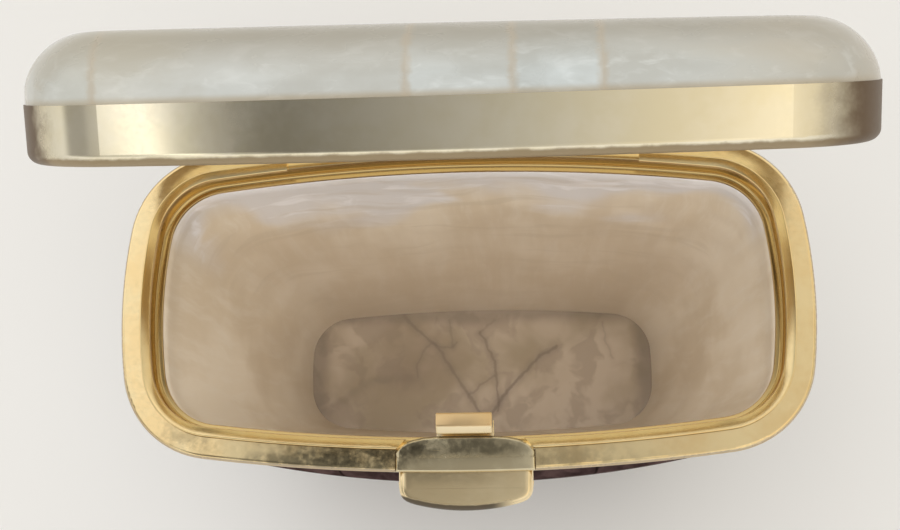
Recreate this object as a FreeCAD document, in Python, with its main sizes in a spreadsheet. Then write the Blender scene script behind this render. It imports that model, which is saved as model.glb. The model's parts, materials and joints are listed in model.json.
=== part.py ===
import FreeCAD, Part
import os
from math import atan2, hypot, pi, sqrt

import Sketcher
from FreeCAD import Placement, Rotation, Vector

# A hinged pill box. Millimetres, +Z up, +Y towards the hinge, the latch at -Y.
# The origin is the centre of the underside, and the lid is shown standing open.

DIMENSIONS = {
    # outline of the rim: four shallow arcs joined by round corners
    "half_length": 32,
    "half_width": 16,
    "front_radius": 190,
    "side_radius": 47,
    "corner_radius": 8.8,
    "rim_height": 49,
    # gilt rim
    "flange_width": 1.9,
    "flange_thickness": 0.9,
    "flange_round": 0.4,
    "skirt_inset": 0.25,
    "skirt_wall": 0.65,
    "rim_depth": 2.6,
    # raised lip inside the flange, and its foot over the pearl
    "lip_wall": 0.55,
    "lip_rise": 0.55,
    "lip_round": 0.2,
    "foot_reach": 0.85,
    "foot_thickness": 0.4,
    # case: outer wall sections at the top, shoulder, waist and foot
    "case_front_radius": 108,
    "shoulder_height": 40.5,
    "waist_height": 22,
    "case_top_length": 31.4,
    "case_top_width": 15.8,
    "case_shoulder_length": 31.8,
    "case_shoulder_width": 16.7,
    "case_waist_length": 30,
    "case_waist_width": 14.9,
    "case_foot_length": 24,
    "case_foot_width": 10.2,
    "case_corner": 8.6,
    "case_foot_corner": 6.8,
    # pearl lining: inner wall sections at the same heights
    "lining_front_radius": 185,
    "lining_top_length": 28.7,
    "lining_top_width": 12.7,
    "lining_shoulder_length": 28.6,
    "lining_shoulder_width": 12.6,
    "lining_waist_length": 26,
    "lining_waist_width": 10.8,
    "lining_foot_length": 21,
    "lining_foot_width": 7.4,
    "lining_corner": 5.6,
    "lining_foot_corner": 5,
    "lining_wall": 1.1,
    # floor
    "bottom_thickness": 1.5,
    "floor_thickness": 1.5,
    "floor_rise": 0.25,
    "panel_clearance": 0.05,
    # latch
    "cover_half_length": 6.25,
    "cover_thickness": 0.5,
    "tab_half_length": 6.1,
    "tab_top_gap": 0.05,
    "tab_reach": 3.3,
    "tab_bow": 1,
    "tab_plate": 0.65,
    "tab_depth": 1.65,
    "tab_round": 0.25,
    "tab_plate_reach": 1,
    "slot_depth": 1.1,
    "latch_travel": 0.9,
    "sliding_gap": 0.1,
    "tongue_half_length": 2.6,
    "hook_half_length": 2.75,
    "hook_nose_inset": 3.25,
    "hook_nose_height": 1,
    "hook_nose_length": 0.75,
    "hook_nose_tip": 0.25,
    "hook_bevel": 0.65,
    "hook_stem": 0.7,
    "hook_heel": 0.4,
    "hook_height": 1.8,
    "striker_engagement": 0.5,
    "striker_low": 0.2,
    "striker_high": 3.6,
    "striker_wall": 0.5,
    "spring_offset": 4.4,
    "spring_radius": 0.4,
    "spring_drop": 1.42,
    "spring_wire": 0.09,
    "spring_pitch": 0.4,
    # hinge
    "hinge_offset": 0.6,
    "hinge_rise": 1.07,
    "knuckle_radius": 1,
    "knuckle_length": 6.6,
    "knuckle_gap": 0.1,
    "bore_radius": 0.5,
    "pin_radius": 0.45,
    "pin_head_radius": 0.8,
    "pin_head_length": 0.2,
    "leaf_thickness": 0.5,
    "swing_gap": 0.3,
    # lid
    "lid_gap": 0.05,
    "lid_overhang": 0.55,
    "band_height": 4.4,
    "band_wall": 1.2,
    "band_round": 0.9,
    "pearl_inset": 0.1,
    "dome_height": 4.95,
    "dome_slope": 0.01,
    "dome_round": 4.5,
    "veneer": 1.2,
    "liner_thickness": 0.4,
    "seam_width": 0.03,
    "open_angle": 67,
    # clearance of glued pieces, and how far a cut runs past what it cuts
    "fit_gap": 0.03,
    "past": 1,
}

# Seams between the pearl strips of the lid: distance from the middle, and slant in degrees.
LID_SEAMS = [(-24.3, 0), (-1.1, -3.8), (5.05, 0), (11.1, 0)]
KNUCKLES = 5

doc = FreeCAD.newDocument("PillBox")
sheet = doc.addObject("Spreadsheet::Sheet", "dims")
for row, (alias, number) in enumerate(DIMENSIONS.items(), start=1):
    sheet.set(f"A{row}", alias)
    sheet.set(f"B{row}", str(number))
    sheet.setAlias(f"B{row}", alias)
doc.recompute()

OUTPUTS = []


def value(expression):
    """The number that an expression over the sheet's cells gives."""
    return float(sheet.evalExpression(expression))


def names(expression):
    """Spell out each alias in an expression as a cell of the sheet."""
    words = []
    word = ""
    for letter in expression + " ":
        if letter.isalnum() or letter == "_":
            word += letter
            continue
        words.append(f"dims.{word}" if word in DIMENSIONS else word)
        words.append(letter)
        word = ""
    return "".join(words).strip()


def bind(thing, **properties):
    """Bind properties to expressions; a double underscore in a name stands for a dot."""
    for name, expression in properties.items():
        thing.setExpression(name.replace("__", "."), names(expression))


def output(thing, label):
    """Mark a sub-part to be written under this name."""
    thing.Label = label
    OUTPUTS.append(thing)
    return thing


def new_body(name):
    return doc.addObject("PartDesign::Body", name)


def plane_of(body, role):
    return next(f for f in body.Origin.OriginFeatures if f.Role == role)


def new_sketch(body, name, height="0", role="XY_Plane"):
    """A sketch on one of its body's own planes, raised by an expression."""
    sketch = body.newObject("Sketcher::SketchObject", f"{body.Name}_{name}")
    sketch.AttachmentSupport = [(plane_of(body, role), "")]
    sketch.MapMode = "FlatFace"
    bind(sketch, AttachmentOffset__Base__z=height)
    return sketch


# ---------------------------------------------------------------- outlines


def rim_outline(inset="0"):
    """The rim's outline, moved inwards by an expression."""
    sizes = ("half_length", "half_width", "front_radius", "side_radius", "corner_radius")
    return [f"{size} - ({inset})" for size in sizes]


def add_outline(sketch, sizes):
    """Add eight tangent arcs: right side, then anticlockwise round to the front right corner."""
    length, width, front, side, corner = (value(names(s)) for s in sizes)
    front_centre = front - width
    side_centre = side - length
    # a corner's centre lies at set distances from the centres of both arcs that it joins
    far = hypot(front_centre, side_centre)
    to_front, to_side = front - corner, side - corner
    along = (to_front**2 - to_side**2 + far**2) / (2 * far)
    across = sqrt(to_front**2 - along**2)
    unit = Vector(-side_centre, front_centre, 0) / far
    centre = Vector(0, -front_centre, 0) + unit * along + Vector(unit.y, -unit.x, 0) * across
    flat = atan2(centre.y, centre.x + side_centre)
    steep = atan2(centre.y + front_centre, centre.x)
    arcs = [
        (Vector(-side_centre, 0, 0), side, -flat, flat),
        (centre, corner, flat, steep),
        (Vector(0, -front_centre, 0), front, steep, pi - steep),
        (Vector(-centre.x, centre.y, 0), corner, pi - steep, pi - flat),
        (Vector(side_centre, 0, 0), side, pi - flat, pi + flat),
        (-centre, corner, pi + flat, pi + steep),
        (Vector(0, front_centre, 0), front, pi + steep, 2 * pi - steep),
        (Vector(centre.x, -centre.y, 0), corner, 2 * pi - steep, 2 * pi - flat),
    ]
    up = Vector(0, 0, 1)
    first = sketch.GeometryCount
    for middle, radius, start, end in arcs:
        sketch.addGeometry(Part.ArcOfCircle(Part.Circle(middle, up, radius), start, end), False)
    index = [first + n for n in range(8)]
    for n in range(8):
        sketch.addConstraint(Sketcher.Constraint("Tangent", index[n], 2, index[(n + 1) % 8], 1))
    for n in (0, 4):
        sketch.addConstraint(Sketcher.Constraint("PointOnObject", index[n], 3, -1))
    for n in (2, 6):
        sketch.addConstraint(Sketcher.Constraint("PointOnObject", index[n], 3, -2))
    for n, same in ((4, 0), (6, 2), (3, 1), (5, 1), (7, 1)):
        sketch.addConstraint(Sketcher.Constraint("Equal", index[n], index[same]))
    beside = f"{sizes[3]} - ({sizes[0]})"
    beyond = f"{sizes[2]} - ({sizes[1]})"
    measured = [
        (Sketcher.Constraint("Radius", index[0], side), sizes[3]),
        (Sketcher.Constraint("Radius", index[2], front), sizes[2]),
        (Sketcher.Constraint("Radius", index[1], corner), sizes[4]),
        (Sketcher.Constraint("DistanceX", index[0], 3, -1, 1, side_centre), beside),
        (Sketcher.Constraint("DistanceX", -1, 1, index[4], 3, side_centre), beside),
        (Sketcher.Constraint("DistanceY", index[2], 3, -1, 1, front_centre), beyond),
        (Sketcher.Constraint("DistanceY", -1, 1, index[6], 3, front_centre), beyond),
    ]
    for constraint, expression in measured:
        number = sketch.addConstraint(constraint)
        sketch.setExpression(f"Constraints[{number}]", names(expression))


def add_rectangle(sketch, left, right, low, high):
    """Add a rectangle whose four sides are bound to expressions."""
    x0, x1, y0, y1 = (value(names(e)) for e in (left, right, low, high))
    corners = [Vector(x0, y0, 0), Vector(x1, y0, 0), Vector(x1, y1, 0), Vector(x0, y1, 0)]
    first = sketch.GeometryCount
    for n in range(4):
        sketch.addGeometry(Part.LineSegment(corners[n], corners[(n + 1) % 4]), False)
    for n in range(4):
        sketch.addConstraint(
            Sketcher.Constraint("Coincident", first + n, 2, first + (n + 1) % 4, 1)
        )
    for n in (0, 2):
        sketch.addConstraint(Sketcher.Constraint("Horizontal", first + n))
        sketch.addConstraint(Sketcher.Constraint("Vertical", first + n + 1))
    for kind, point, expression, number in (
        ("DistanceX", (first, 1), left, x0),
        ("DistanceY", (first, 1), low, y0),
        ("DistanceX", (first + 1, 2), right, x1),
        ("DistanceY", (first + 1, 2), high, y1),
    ):
        made = sketch.addConstraint(Sketcher.Constraint(kind, -1, 1, *point, number))
        sketch.setExpression(f"Constraints[{made}]", names(expression))


def add_curved_strip(sketch, half_length, outer, inner):
    """Add a strip between two arcs that follow the rim's rear edge at two insets."""
    half = value(names(half_length))
    centre = Vector(0, value(names("half_width - front_radius")), 0)
    radii = [value(names(f"front_radius - ({inset})")) for inset in (outer, inner)]
    heights = [centre.y + sqrt(radius**2 - half**2) for radius in radii]
    turns = [atan2(height - centre.y, half) for height in heights]
    up = Vector(0, 0, 1)
    for radius, turn in zip(radii, turns):
        circle = Part.Circle(centre, up, radius)
        sketch.addGeometry(Part.ArcOfCircle(circle, turn, pi - turn), False)
    for x in (half, -half):
        end = Part.LineSegment(Vector(x, heights[1], 0), Vector(x, heights[0], 0))
        sketch.addGeometry(end, False)
    for line, end in ((2, 1), (3, 2)):
        sketch.addConstraint(Sketcher.Constraint("Coincident", line, 2, 0, end))
        sketch.addConstraint(Sketcher.Constraint("Coincident", line, 1, 1, end))
        sketch.addConstraint(Sketcher.Constraint("Vertical", line))
    sketch.addConstraint(Sketcher.Constraint("Coincident", 0, 3, 1, 3))
    sketch.addConstraint(Sketcher.Constraint("PointOnObject", 0, 3, -2))
    for constraint, expression in (
        (Sketcher.Constraint("DistanceX", -1, 1, 2, 1, half), half_length),
        (Sketcher.Constraint("DistanceX", 3, 1, -1, 1, half), half_length),
        (Sketcher.Constraint("DistanceY", 0, 3, -1, 1, -centre.y), "front_radius - half_width"),
        (Sketcher.Constraint("Radius", 0, radii[0]), f"front_radius - ({outer})"),
        (Sketcher.Constraint("Radius", 1, radii[1]), f"front_radius - ({inner})"),
    ):
        made = sketch.addConstraint(constraint)
        sketch.setExpression(f"Constraints[{made}]", names(expression))


def add_profile(sketch, points):
    """Add a closed polygon whose corners are bound to pairs of expressions."""
    corners = [Vector(value(names(x)), value(names(y)), 0) for x, y in points]
    count = len(corners)
    first = sketch.GeometryCount
    for n in range(count):
        sketch.addGeometry(Part.LineSegment(corners[n], corners[(n + 1) % count]), False)
    for n in range(count):
        sketch.addConstraint(
            Sketcher.Constraint("Coincident", first + n, 2, first + (n + 1) % count, 1)
        )
    for n, (x, y) in enumerate(points):
        at = corners[n]
        for kind, expression, number in (("DistanceX", x, at.x), ("DistanceY", y, at.y)):
            made = sketch.addConstraint(Sketcher.Constraint(kind, -1, 1, first + n, 1, number))
            sketch.setExpression(f"Constraints[{made}]", names(expression))


# ---------------------------------------------------------------- features


def pad(body, sketch, length):
    """Add a sketch's area, upwards by an expression."""
    feature = body.newObject("PartDesign::Pad", f"{sketch.Name}_pad")
    feature.Profile = sketch
    bind(feature, Length=length)
    return feature


def pocket(body, sketch, length):
    """Cut a sketch's area away, upwards by an expression, and check that something went."""
    doc.recompute()
    before = body.Shape.Volume
    feature = body.newObject("PartDesign::Pocket", f"{sketch.Name}_pocket")
    feature.Profile = sketch
    feature.Reversed = True
    bind(feature, Length=length)
    doc.recompute()
    if body.Shape.Volume > before - 1e-4:
        raise RuntimeError(f"{feature.Name} cuts nothing")
    return feature


def pad_both_ways(body, sketch, length):
    feature = pad(body, sketch, length)
    feature.Midplane = True
    return feature


def fillet(body, base, edges, radius):
    """Round the named edges of a feature."""
    feature = body.newObject("PartDesign::Fillet", f"{base.Name}_round")
    feature.Base = (base, edges)
    bind(feature, Radius=radius)
    return feature


def edges_of(shape, loops):
    """Names of a shape's edges that belong to some of its loops."""
    wanted = [edge for loop in loops for edge in loop.Edges]
    return [
        f"Edge{n}"
        for n, edge in enumerate(shape.Edges, start=1)
        if any(edge.isSame(other) for other in wanted)
    ]


def edges_at(shape, height, outer=True):
    """Names of the edges round the flat face at a height: its outer loop, or its inner ones."""
    near = 1e-5
    face = next(
        face
        for face in shape.Faces
        if abs(face.BoundBox.ZMin - height) < near and abs(face.BoundBox.ZMax - height) < near
    )
    return edges_of(shape, [w for w in face.Wires if w.isSame(face.OuterWire) == outer])


def loft(body, name, sections, cuts=False):
    """Loft smoothly through outlines given as (height, sizes)."""
    sketches = []
    for n, (height, sizes) in enumerate(sections):
        sketch = new_sketch(body, f"{name}_{n}", height)
        add_outline(sketch, sizes)
        sketches.append(sketch)
    kind = "PartDesign::SubtractiveLoft" if cuts else "PartDesign::AdditiveLoft"
    doc.recompute()
    before = body.Shape.Volume if cuts else 0
    feature = body.newObject(kind, f"{body.Name}_{name}")
    feature.Profile = sketches[0]
    feature.Sections = sketches[1:]
    feature.Ruled = False
    doc.recompute()
    if cuts and body.Shape.Volume > before - 1:
        raise RuntimeError(f"{feature.Name} cuts nothing")
    return feature


def ring(body, name, low, height, outer, inner):
    """Pad a closed band between two outlines of the rim's family."""
    sketch = new_sketch(body, name, low)
    add_outline(sketch, outer)
    add_outline(sketch, inner)
    return pad(body, sketch, height)


# ---------------------------------------------------------------- the case

STATIONS = (
    ("foot", "0", "foot_corner"),
    ("waist", "waist_height", "corner"),
    ("shoulder", "shoulder_height", "corner"),
    ("top", "rim_height - rim_depth", "corner"),
)


def wall_sections(part, grow="0"):
    """Outlines of the case's or the lining's wall at each station, grown by an expression."""
    return [
        (
            height,
            [
                f"{part}_{station}_length + {grow}",
                f"{part}_{station}_width + {grow}",
                f"{part}_front_radius + {grow}",
                f"side_radius + {grow}",
                f"{part}_{corner} + {grow}",
            ],
        )
        for station, height, corner in STATIONS
    ]


def make_outer_case():
    """The tapering outer wall, open at both ends."""
    body = new_body("OuterCase")
    loft(body, "outside", wall_sections("case"))
    loft(body, "inside", wall_sections("lining", "lining_wall"), cuts=True)
    return output(body, "outer_case")


def make_pearl_lining():
    """The pearl skin inside the case, standing on the floor panel."""
    body = new_body("PearlLining")
    loft(body, "outside", wall_sections("lining", "lining_wall"))
    loft(body, "inside", wall_sections("lining"), cuts=True)
    sketch = new_sketch(body, "end")
    add_rectangle(sketch, "-half_length", "half_length", "-half_width", "half_width")
    pocket(body, sketch, "bottom_thickness + floor_thickness")
    return output(body, "pearl_lining")


def make_panel(name, label, low, thickness, rise):
    """A flat panel that closes the case, where the tapering hole is wider by rise."""
    body = new_body(name)
    sketch = new_sketch(body, "outline", low)
    grow = f"lining_wall - panel_clearance + {rise}"
    add_outline(
        sketch,
        [
            f"lining_foot_length + {grow}",
            f"lining_foot_width + {grow}",
            f"lining_front_radius + {grow}",
            f"side_radius + {grow}",
            f"lining_foot_corner + {grow}",
        ],
    )
    pad(body, sketch, thickness)
    return output(body, label)


# ---------------------------------------------------------------- gilt rim

TAB_TOP = "rim_height - flange_thickness - tab_top_gap"
TAB_BOTTOM = f"{TAB_TOP} - tab_plate"
HINGE_HALF = f"{KNUCKLES} * knuckle_length / 2"
SKIRT_BOTTOM = "rim_height - rim_depth"
LIP_INSET = "flange_width + lip_wall"
FOOT_INSET = f"{LIP_INSET} + foot_reach"


def make_base_rim():
    """The flange that the lid closes on, with a skirt over the top of the case."""
    body = new_body("BaseRim")
    flange = ring(
        body, "flange", "rim_height - flange_thickness", "flange_thickness",
        rim_outline(), rim_outline("flange_width"),
    )
    doc.recompute()
    height = value(names("rim_height"))
    fillet(body, flange, edges_at(flange.Shape, height), "flange_round")
    ring(
        body, "skirt", SKIRT_BOTTOM, "rim_depth - flange_thickness",
        rim_outline("skirt_inset"), rim_outline("skirt_inset + skirt_wall"),
    )
    recess = new_sketch(body, "recess", "rim_height - cover_thickness")
    add_rectangle(
        recess, "-cover_half_length - fit_gap", "cover_half_length + fit_gap",
        "-half_width - past", "-half_width + flange_width",
    )
    pocket(body, recess, "cover_thickness + past")
    slot = new_sketch(body, "slot", "rim_height - flange_thickness - slot_depth")
    add_rectangle(
        slot, "-tab_half_length - sliding_gap", "tab_half_length + sliding_gap",
        "-half_width - past", "-half_width + flange_width - sliding_gap",
    )
    pocket(body, slot, "slot_depth")
    return output(body, "base_rim")


def make_inner_lip():
    """The lip that guides the lid, with gaps for the latch and the hinge, and a foot."""
    body = new_body("InnerLip")
    lip = ring(
        body, "lip", SKIRT_BOTTOM, "rim_depth + lip_rise",
        rim_outline("flange_width"), rim_outline(LIP_INSET),
    )
    doc.recompute()
    top = value(names("rim_height + lip_rise"))
    edges = edges_at(lip.Shape, top) + edges_at(lip.Shape, top, outer=False)
    fillet(body, lip, edges, "lip_round")
    ring(
        body, "foot", SKIRT_BOTTOM, "foot_thickness",
        rim_outline("flange_width + lip_wall / 2"), rim_outline(FOOT_INSET),
    )
    gaps = new_sketch(body, "gaps", "rim_height")
    add_rectangle(
        gaps, "-cover_half_length", "cover_half_length", "-half_width", "-half_width + 2 * flange_width"
    )
    add_rectangle(
        gaps, f"-({HINGE_HALF}) - swing_gap", f"{HINGE_HALF} + swing_gap",
        "half_width - 2 * flange_width", "half_width",
    )
    pocket(body, gaps, "lip_rise + past")
    window = new_sketch(body, "window", f"{TAB_BOTTOM} - sliding_gap")
    add_rectangle(
        window, "-tongue_half_length - sliding_gap", "tongue_half_length + sliding_gap",
        "-half_width", "-half_width + 2 * flange_width",
    )
    pocket(body, window, "tab_plate + 2 * sliding_gap")
    return output(body, "inner_lip")


# ---------------------------------------------------------------- latch

HOOK_FRONT = "-half_width + hook_nose_inset"
SPRING_FRONT = "-half_width + fit_gap"


def add_bowed_plate(sketch, half_length, rear, front, bow):
    """A plate with a straight rear edge and sides, and a front edge bowed out by an arc."""
    half = value(names(half_length))
    back = value(names(rear))
    side = value(names(front))
    middle = side - value(names(bow))
    corners = [
        Vector(half, side, 0), Vector(half, back, 0), Vector(-half, back, 0), Vector(-half, side, 0)
    ]
    for n in range(3):
        sketch.addGeometry(Part.LineSegment(corners[n], corners[n + 1]), False)
    sketch.addGeometry(Part.Arc(corners[3], Vector(0, middle, 0), corners[0]), False)
    for n in range(3):
        sketch.addConstraint(Sketcher.Constraint("Coincident", n, 2, n + 1, 1))
    sketch.addConstraint(Sketcher.Constraint("Coincident", 3, 2, 0, 1))
    sketch.addConstraint(Sketcher.Constraint("Horizontal", 1))
    sketch.addConstraint(Sketcher.Constraint("Vertical", 0))
    sketch.addConstraint(Sketcher.Constraint("Symmetric", 0, 1, 2, 2, -2))
    sketch.addConstraint(Sketcher.Constraint("Vertical", 2))
    radius = (half**2 + (side - middle) ** 2) / (2 * (side - middle))
    for constraint, expression in (
        (Sketcher.Constraint("DistanceX", -1, 1, 0, 1, half), half_length),
        (Sketcher.Constraint("DistanceY", -1, 1, 0, 1, side), front),
        (Sketcher.Constraint("DistanceY", -1, 1, 0, 2, back), rear),
        (
            Sketcher.Constraint("Radius", 3, radius),
            f"(({half_length})^2 + ({bow})^2) / (2 * ({bow}))",
        ),
    ):
        made = sketch.addConstraint(constraint)
        sketch.setExpression(f"Constraints[{made}]", names(expression))


def make_latch_cover():
    """A plate let into the flange flush with its top, over the latch's plate."""
    body = new_body("LatchCover")
    sketch = new_sketch(body, "outline", "rim_height - cover_thickness")
    add_bowed_plate(
        sketch, "cover_half_length", "-half_width + flange_width - fit_gap",
        "-half_width + cover_half_length^2 / (2 * front_radius)",
        "cover_half_length^2 / (2 * front_radius)",
    )
    pad(body, sketch, "cover_thickness")
    return output(body, "latch_cover")


def make_thumb_tab():
    """The tab that is pressed, with its plate under the flange and its tongue to the hook."""
    body = new_body("ThumbTab")
    front = "-half_width - tab_reach + tab_bow"
    plate = new_sketch(body, "plate", TAB_BOTTOM)
    add_bowed_plate(plate, "tab_half_length", "-half_width + tab_plate_reach", front, "tab_bow")
    pad(body, plate, "tab_plate")
    step = new_sketch(body, "step", f"{TAB_TOP} - tab_depth")
    stop = "-half_width + skirt_inset - latch_travel - sliding_gap"
    add_bowed_plate(step, "tab_half_length", stop, front, "tab_bow")
    thick = pad(body, step, "tab_depth")
    doc.recompute()
    beyond = value(names(f"{stop} - fit_gap"))
    edges = [
        f"Edge{n}"
        for n, edge in enumerate(thick.Shape.Edges, start=1)
        if edge.BoundBox.YMax < beyond and edge.BoundBox.YLength > edge.BoundBox.ZLength
    ]
    fillet(body, thick, edges, "tab_round")
    tongue = new_sketch(body, "tongue", TAB_BOTTOM)
    add_rectangle(
        tongue, "-tongue_half_length", "tongue_half_length",
        "-half_width + tab_plate_reach / 2", f"{HOOK_FRONT} + hook_nose_length + hook_stem",
    )
    pad(body, tongue, "tab_plate")
    notch = new_sketch(body, "notch", f"{TAB_BOTTOM} - fit_gap")
    for side in ("-", ""):
        centre = f"{side}spring_offset"
        room = "spring_radius + 2 * spring_wire"
        add_rectangle(
            notch, f"{centre} - ({room})", f"{centre} + {room}",
            SPRING_FRONT, "-half_width + tab_plate_reach + past",
        )
    pocket(body, notch, "tab_plate + 2 * fit_gap")
    return output(body, "thumb_tab")


def make_catch_hook():
    """The hook on the tongue's inner end: a stem, and a nose towards the lid's striker."""
    body = new_body("CatchHook")
    sketch = new_sketch(body, "profile", "0", "YZ_Plane")
    nose = HOOK_FRONT
    stem = f"{nose} + hook_nose_length"
    back = f"{stem} + hook_stem"
    under = "rim_height + hook_nose_height"
    top = "rim_height + hook_height"
    add_profile(
        sketch,
        [
            (stem, TAB_TOP),
            (back, TAB_TOP),
            (back, under),
            (f"{back} + hook_heel", f"{under} + hook_heel"),
            (f"{back} + hook_heel", top),
            (f"{nose} + hook_bevel", top),
            (nose, f"{under} + hook_nose_tip"),
            (nose, under),
            (stem, under),
        ],
    )
    pad_both_ways(body, sketch, "2 * hook_half_length")
    return output(body, "catch_hook")


def make_latch_springs():
    """Two coil springs, between the tab's notches and the outside of the lip."""
    coils = []
    for side in (-1, 1):
        name = "Left" if side < 0 else "Right"
        helix = doc.addObject("Part::Helix", f"{name}Helix")
        bind(
            helix, Pitch="spring_pitch", Radius="spring_radius",
            Height="flange_width - 2 * fit_gap - 4 * spring_wire",
        )
        wire = doc.addObject("Part::Circle", f"{name}Wire")
        bind(wire, Radius="spring_wire")
        wire.Placement = Placement(
            Vector(value(names("spring_radius")), 0, 0), Rotation(Vector(1, 0, 0), 90)
        )
        coil = doc.addObject("Part::Sweep", f"{name}Coil")
        coil.Sections = [wire]
        coil.Spine = (helix, ["Edge1"])
        coil.Solid = True
        coil.Frenet = True
        coil.Placement = Placement(Vector(), Rotation(Vector(1, 0, 0), -90))
        bind(
            coil, Placement__Base__x=f"{side} * spring_offset",
            Placement__Base__y=f"{SPRING_FRONT} + 2 * spring_wire",
            Placement__Base__z="rim_height - spring_drop",
        )
        coils.append(coil)
    both = doc.addObject("Part::Compound", "LatchSprings")
    both.Links = coils
    return output(both, "latch_springs")


# ---------------------------------------------------------------- hinge

HINGE_Y = "half_width + hinge_offset"
HINGE_Z = "rim_height + hinge_rise"


def knuckle_span(n):
    """Start and end of one knuckle, as expressions along X."""
    start = f"-({HINGE_HALF}) + {n} * knuckle_length + knuckle_gap / 2"
    return start, f"{start} + knuckle_length - knuckle_gap"


def add_knuckles(leaf, name, wanted):
    """Fuse bored knuckles to a leaf, for the numbers wanted."""
    pieces = [leaf]
    for n in wanted:
        start, _ = knuckle_span(n)
        barrel = doc.addObject("Part::Cylinder", f"{name}Knuckle{n}")
        bind(barrel, Radius="knuckle_radius", Height="knuckle_length - knuckle_gap")
        barrel.Placement = Placement(Vector(), Rotation(Vector(0, 1, 0), 90))
        bind(barrel, Placement__Base__x=start, Placement__Base__y=HINGE_Y, Placement__Base__z=HINGE_Z)
        pieces.append(barrel)
    joined = doc.addObject("Part::MultiFuse", f"{name}Joined")
    joined.Shapes = pieces
    bore = doc.addObject("Part::Cylinder", f"{name}Bore")
    bind(bore, Radius="bore_radius", Height=f"2 * ({HINGE_HALF} + past)")
    bore.Placement = Placement(Vector(), Rotation(Vector(0, 1, 0), 90))
    bind(
        bore, Placement__Base__x=f"-({HINGE_HALF} + past)",
        Placement__Base__y=HINGE_Y, Placement__Base__z=HINGE_Z,
    )
    bored = doc.addObject("Part::Cut", f"{name}Bored")
    bored.Base = joined
    bored.Tool = bore
    return bored


def make_base_hinge():
    """The leaf on the flange, with the outer and middle knuckles."""
    body = new_body("BaseLeaf")
    sketch = new_sketch(body, "leaf", "rim_height")
    clear = "knuckle_radius - hinge_offset + swing_gap"
    add_curved_strip(sketch, f"{HINGE_HALF} - knuckle_gap / 2", clear, "flange_width - fit_gap")
    pad(body, sketch, "leaf_thickness")
    for n in (0, 2, 4):
        start, end = knuckle_span(n)
        arm = new_sketch(body, f"arm{n}", "rim_height")
        add_rectangle(arm, start, end, "half_width - flange_width + leaf_thickness", HINGE_Y)
        pad(body, arm, "leaf_thickness")
    return output(add_knuckles(body, "Base", (0, 2, 4)), "base_hinge_leaf")


def make_lid_hinge():
    """The leaf inside the lid's rear wall, with the two knuckles in between."""
    body = new_body("LidLeaf")
    wall = "band_wall - lid_overhang + fit_gap"
    sketch = new_sketch(body, "leaf", "rim_height + 2 * leaf_thickness")
    add_curved_strip(sketch, f"{HINGE_HALF} - knuckle_gap / 2", wall, f"{wall} + leaf_thickness")
    pad(body, sketch, "band_height - liner_thickness - 3 * leaf_thickness")
    for n in (1, 3):
        start, end = knuckle_span(n)
        arm = new_sketch(body, f"arm{n}", f"{HINGE_Z} + knuckle_radius - leaf_thickness")
        add_rectangle(arm, start, end, f"half_width - ({wall}) - leaf_thickness", HINGE_Y)
        pad(body, arm, "leaf_thickness")
    return output(add_knuckles(body, "Lid", (1, 3)), "lid_hinge_leaf")


def make_hinge_pin():
    """The pin through all the knuckles, with a peened head at each end."""
    shaft = doc.addObject("Part::Cylinder", "PinShaft")
    bind(shaft, Radius="pin_radius", Height=f"2 * ({HINGE_HALF} + pin_head_length)")
    pieces = [(shaft, f"-({HINGE_HALF}) - pin_head_length")]
    for side, start in (("Left", f"-({HINGE_HALF}) - pin_head_length"), ("Right", HINGE_HALF)):
        head = doc.addObject("Part::Cylinder", f"PinHead{side}")
        bind(head, Radius="pin_head_radius", Height="pin_head_length")
        pieces.append((head, start))
    for piece, start in pieces:
        piece.Placement = Placement(Vector(), Rotation(Vector(0, 1, 0), 90))
        bind(piece, Placement__Base__x=start, Placement__Base__y=HINGE_Y, Placement__Base__z=HINGE_Z)
    pin = doc.addObject("Part::MultiFuse", "HingePin")
    pin.Shapes = [piece for piece, _ in pieces]
    return output(pin, "hinge_pin")


# ---------------------------------------------------------------- lid, drawn closed

LID_BOTTOM = "rim_height + lid_gap"
LID_TOP_OF_BAND = f"{LID_BOTTOM} + band_height"
DOME_INSET = "pearl_inset - lid_overhang"


def make_lid_band():
    """The gilt band round the lid's mouth, notched at the rear for the hinge."""
    body = new_body("LidBand")
    band = ring(
        body, "band", LID_BOTTOM, "band_height",
        rim_outline("-lid_overhang"), rim_outline("band_wall - lid_overhang"),
    )
    doc.recompute()
    mouth = value(names(LID_BOTTOM))
    fillet(body, band, edges_at(band.Shape, mouth), "band_round")
    notch = new_sketch(body, "notch", f"{LID_BOTTOM} - past")
    half = f"{HINGE_HALF} + pin_head_length + swing_gap / 2"
    add_rectangle(
        notch, f"-({half})", half, "half_width - band_wall - past", "half_width + lid_overhang + past"
    )
    pocket(body, notch, "past + hinge_rise - lid_gap + knuckle_radius + swing_gap")
    return output(body, "lid_band")


def domed_block(name, inset, height, rounding):
    """A block on the band, a little lower to the right, with its top edge rounded over."""
    body = new_body(name)
    sketch = new_sketch(body, "outline", LID_TOP_OF_BAND)
    add_outline(sketch, rim_outline(inset))
    pad(body, sketch, f"{height} + past")
    above = new_sketch(body, "above", "0", "XZ_Plane")
    middle = f"{LID_TOP_OF_BAND} + {height}"
    add_profile(
        above,
        [
            ("-2 * half_length", f"{middle} + 2 * half_length * dome_slope"),
            ("2 * half_length", f"{middle} - 2 * half_length * dome_slope"),
            ("2 * half_length", f"{middle} + 2 * past"),
            ("-2 * half_length", f"{middle} + 2 * past"),
        ],
    )
    slope = pocket(body, above, "4 * half_width")
    slope.Midplane = True
    doc.recompute()
    top = max(slope.Shape.Faces, key=lambda face: face.CenterOfMass.z)
    fillet(body, slope, edges_of(slope.Shape, [top.OuterWire]), rounding)
    return body


def core_block(name):
    return domed_block(name, f"{DOME_INSET} + veneer", "dome_height - veneer", "dome_round - veneer")


def make_lid_core():
    """The wooden core that the pearl is laid on."""
    return output(core_block("LidCore"), "lid_core")


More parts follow.
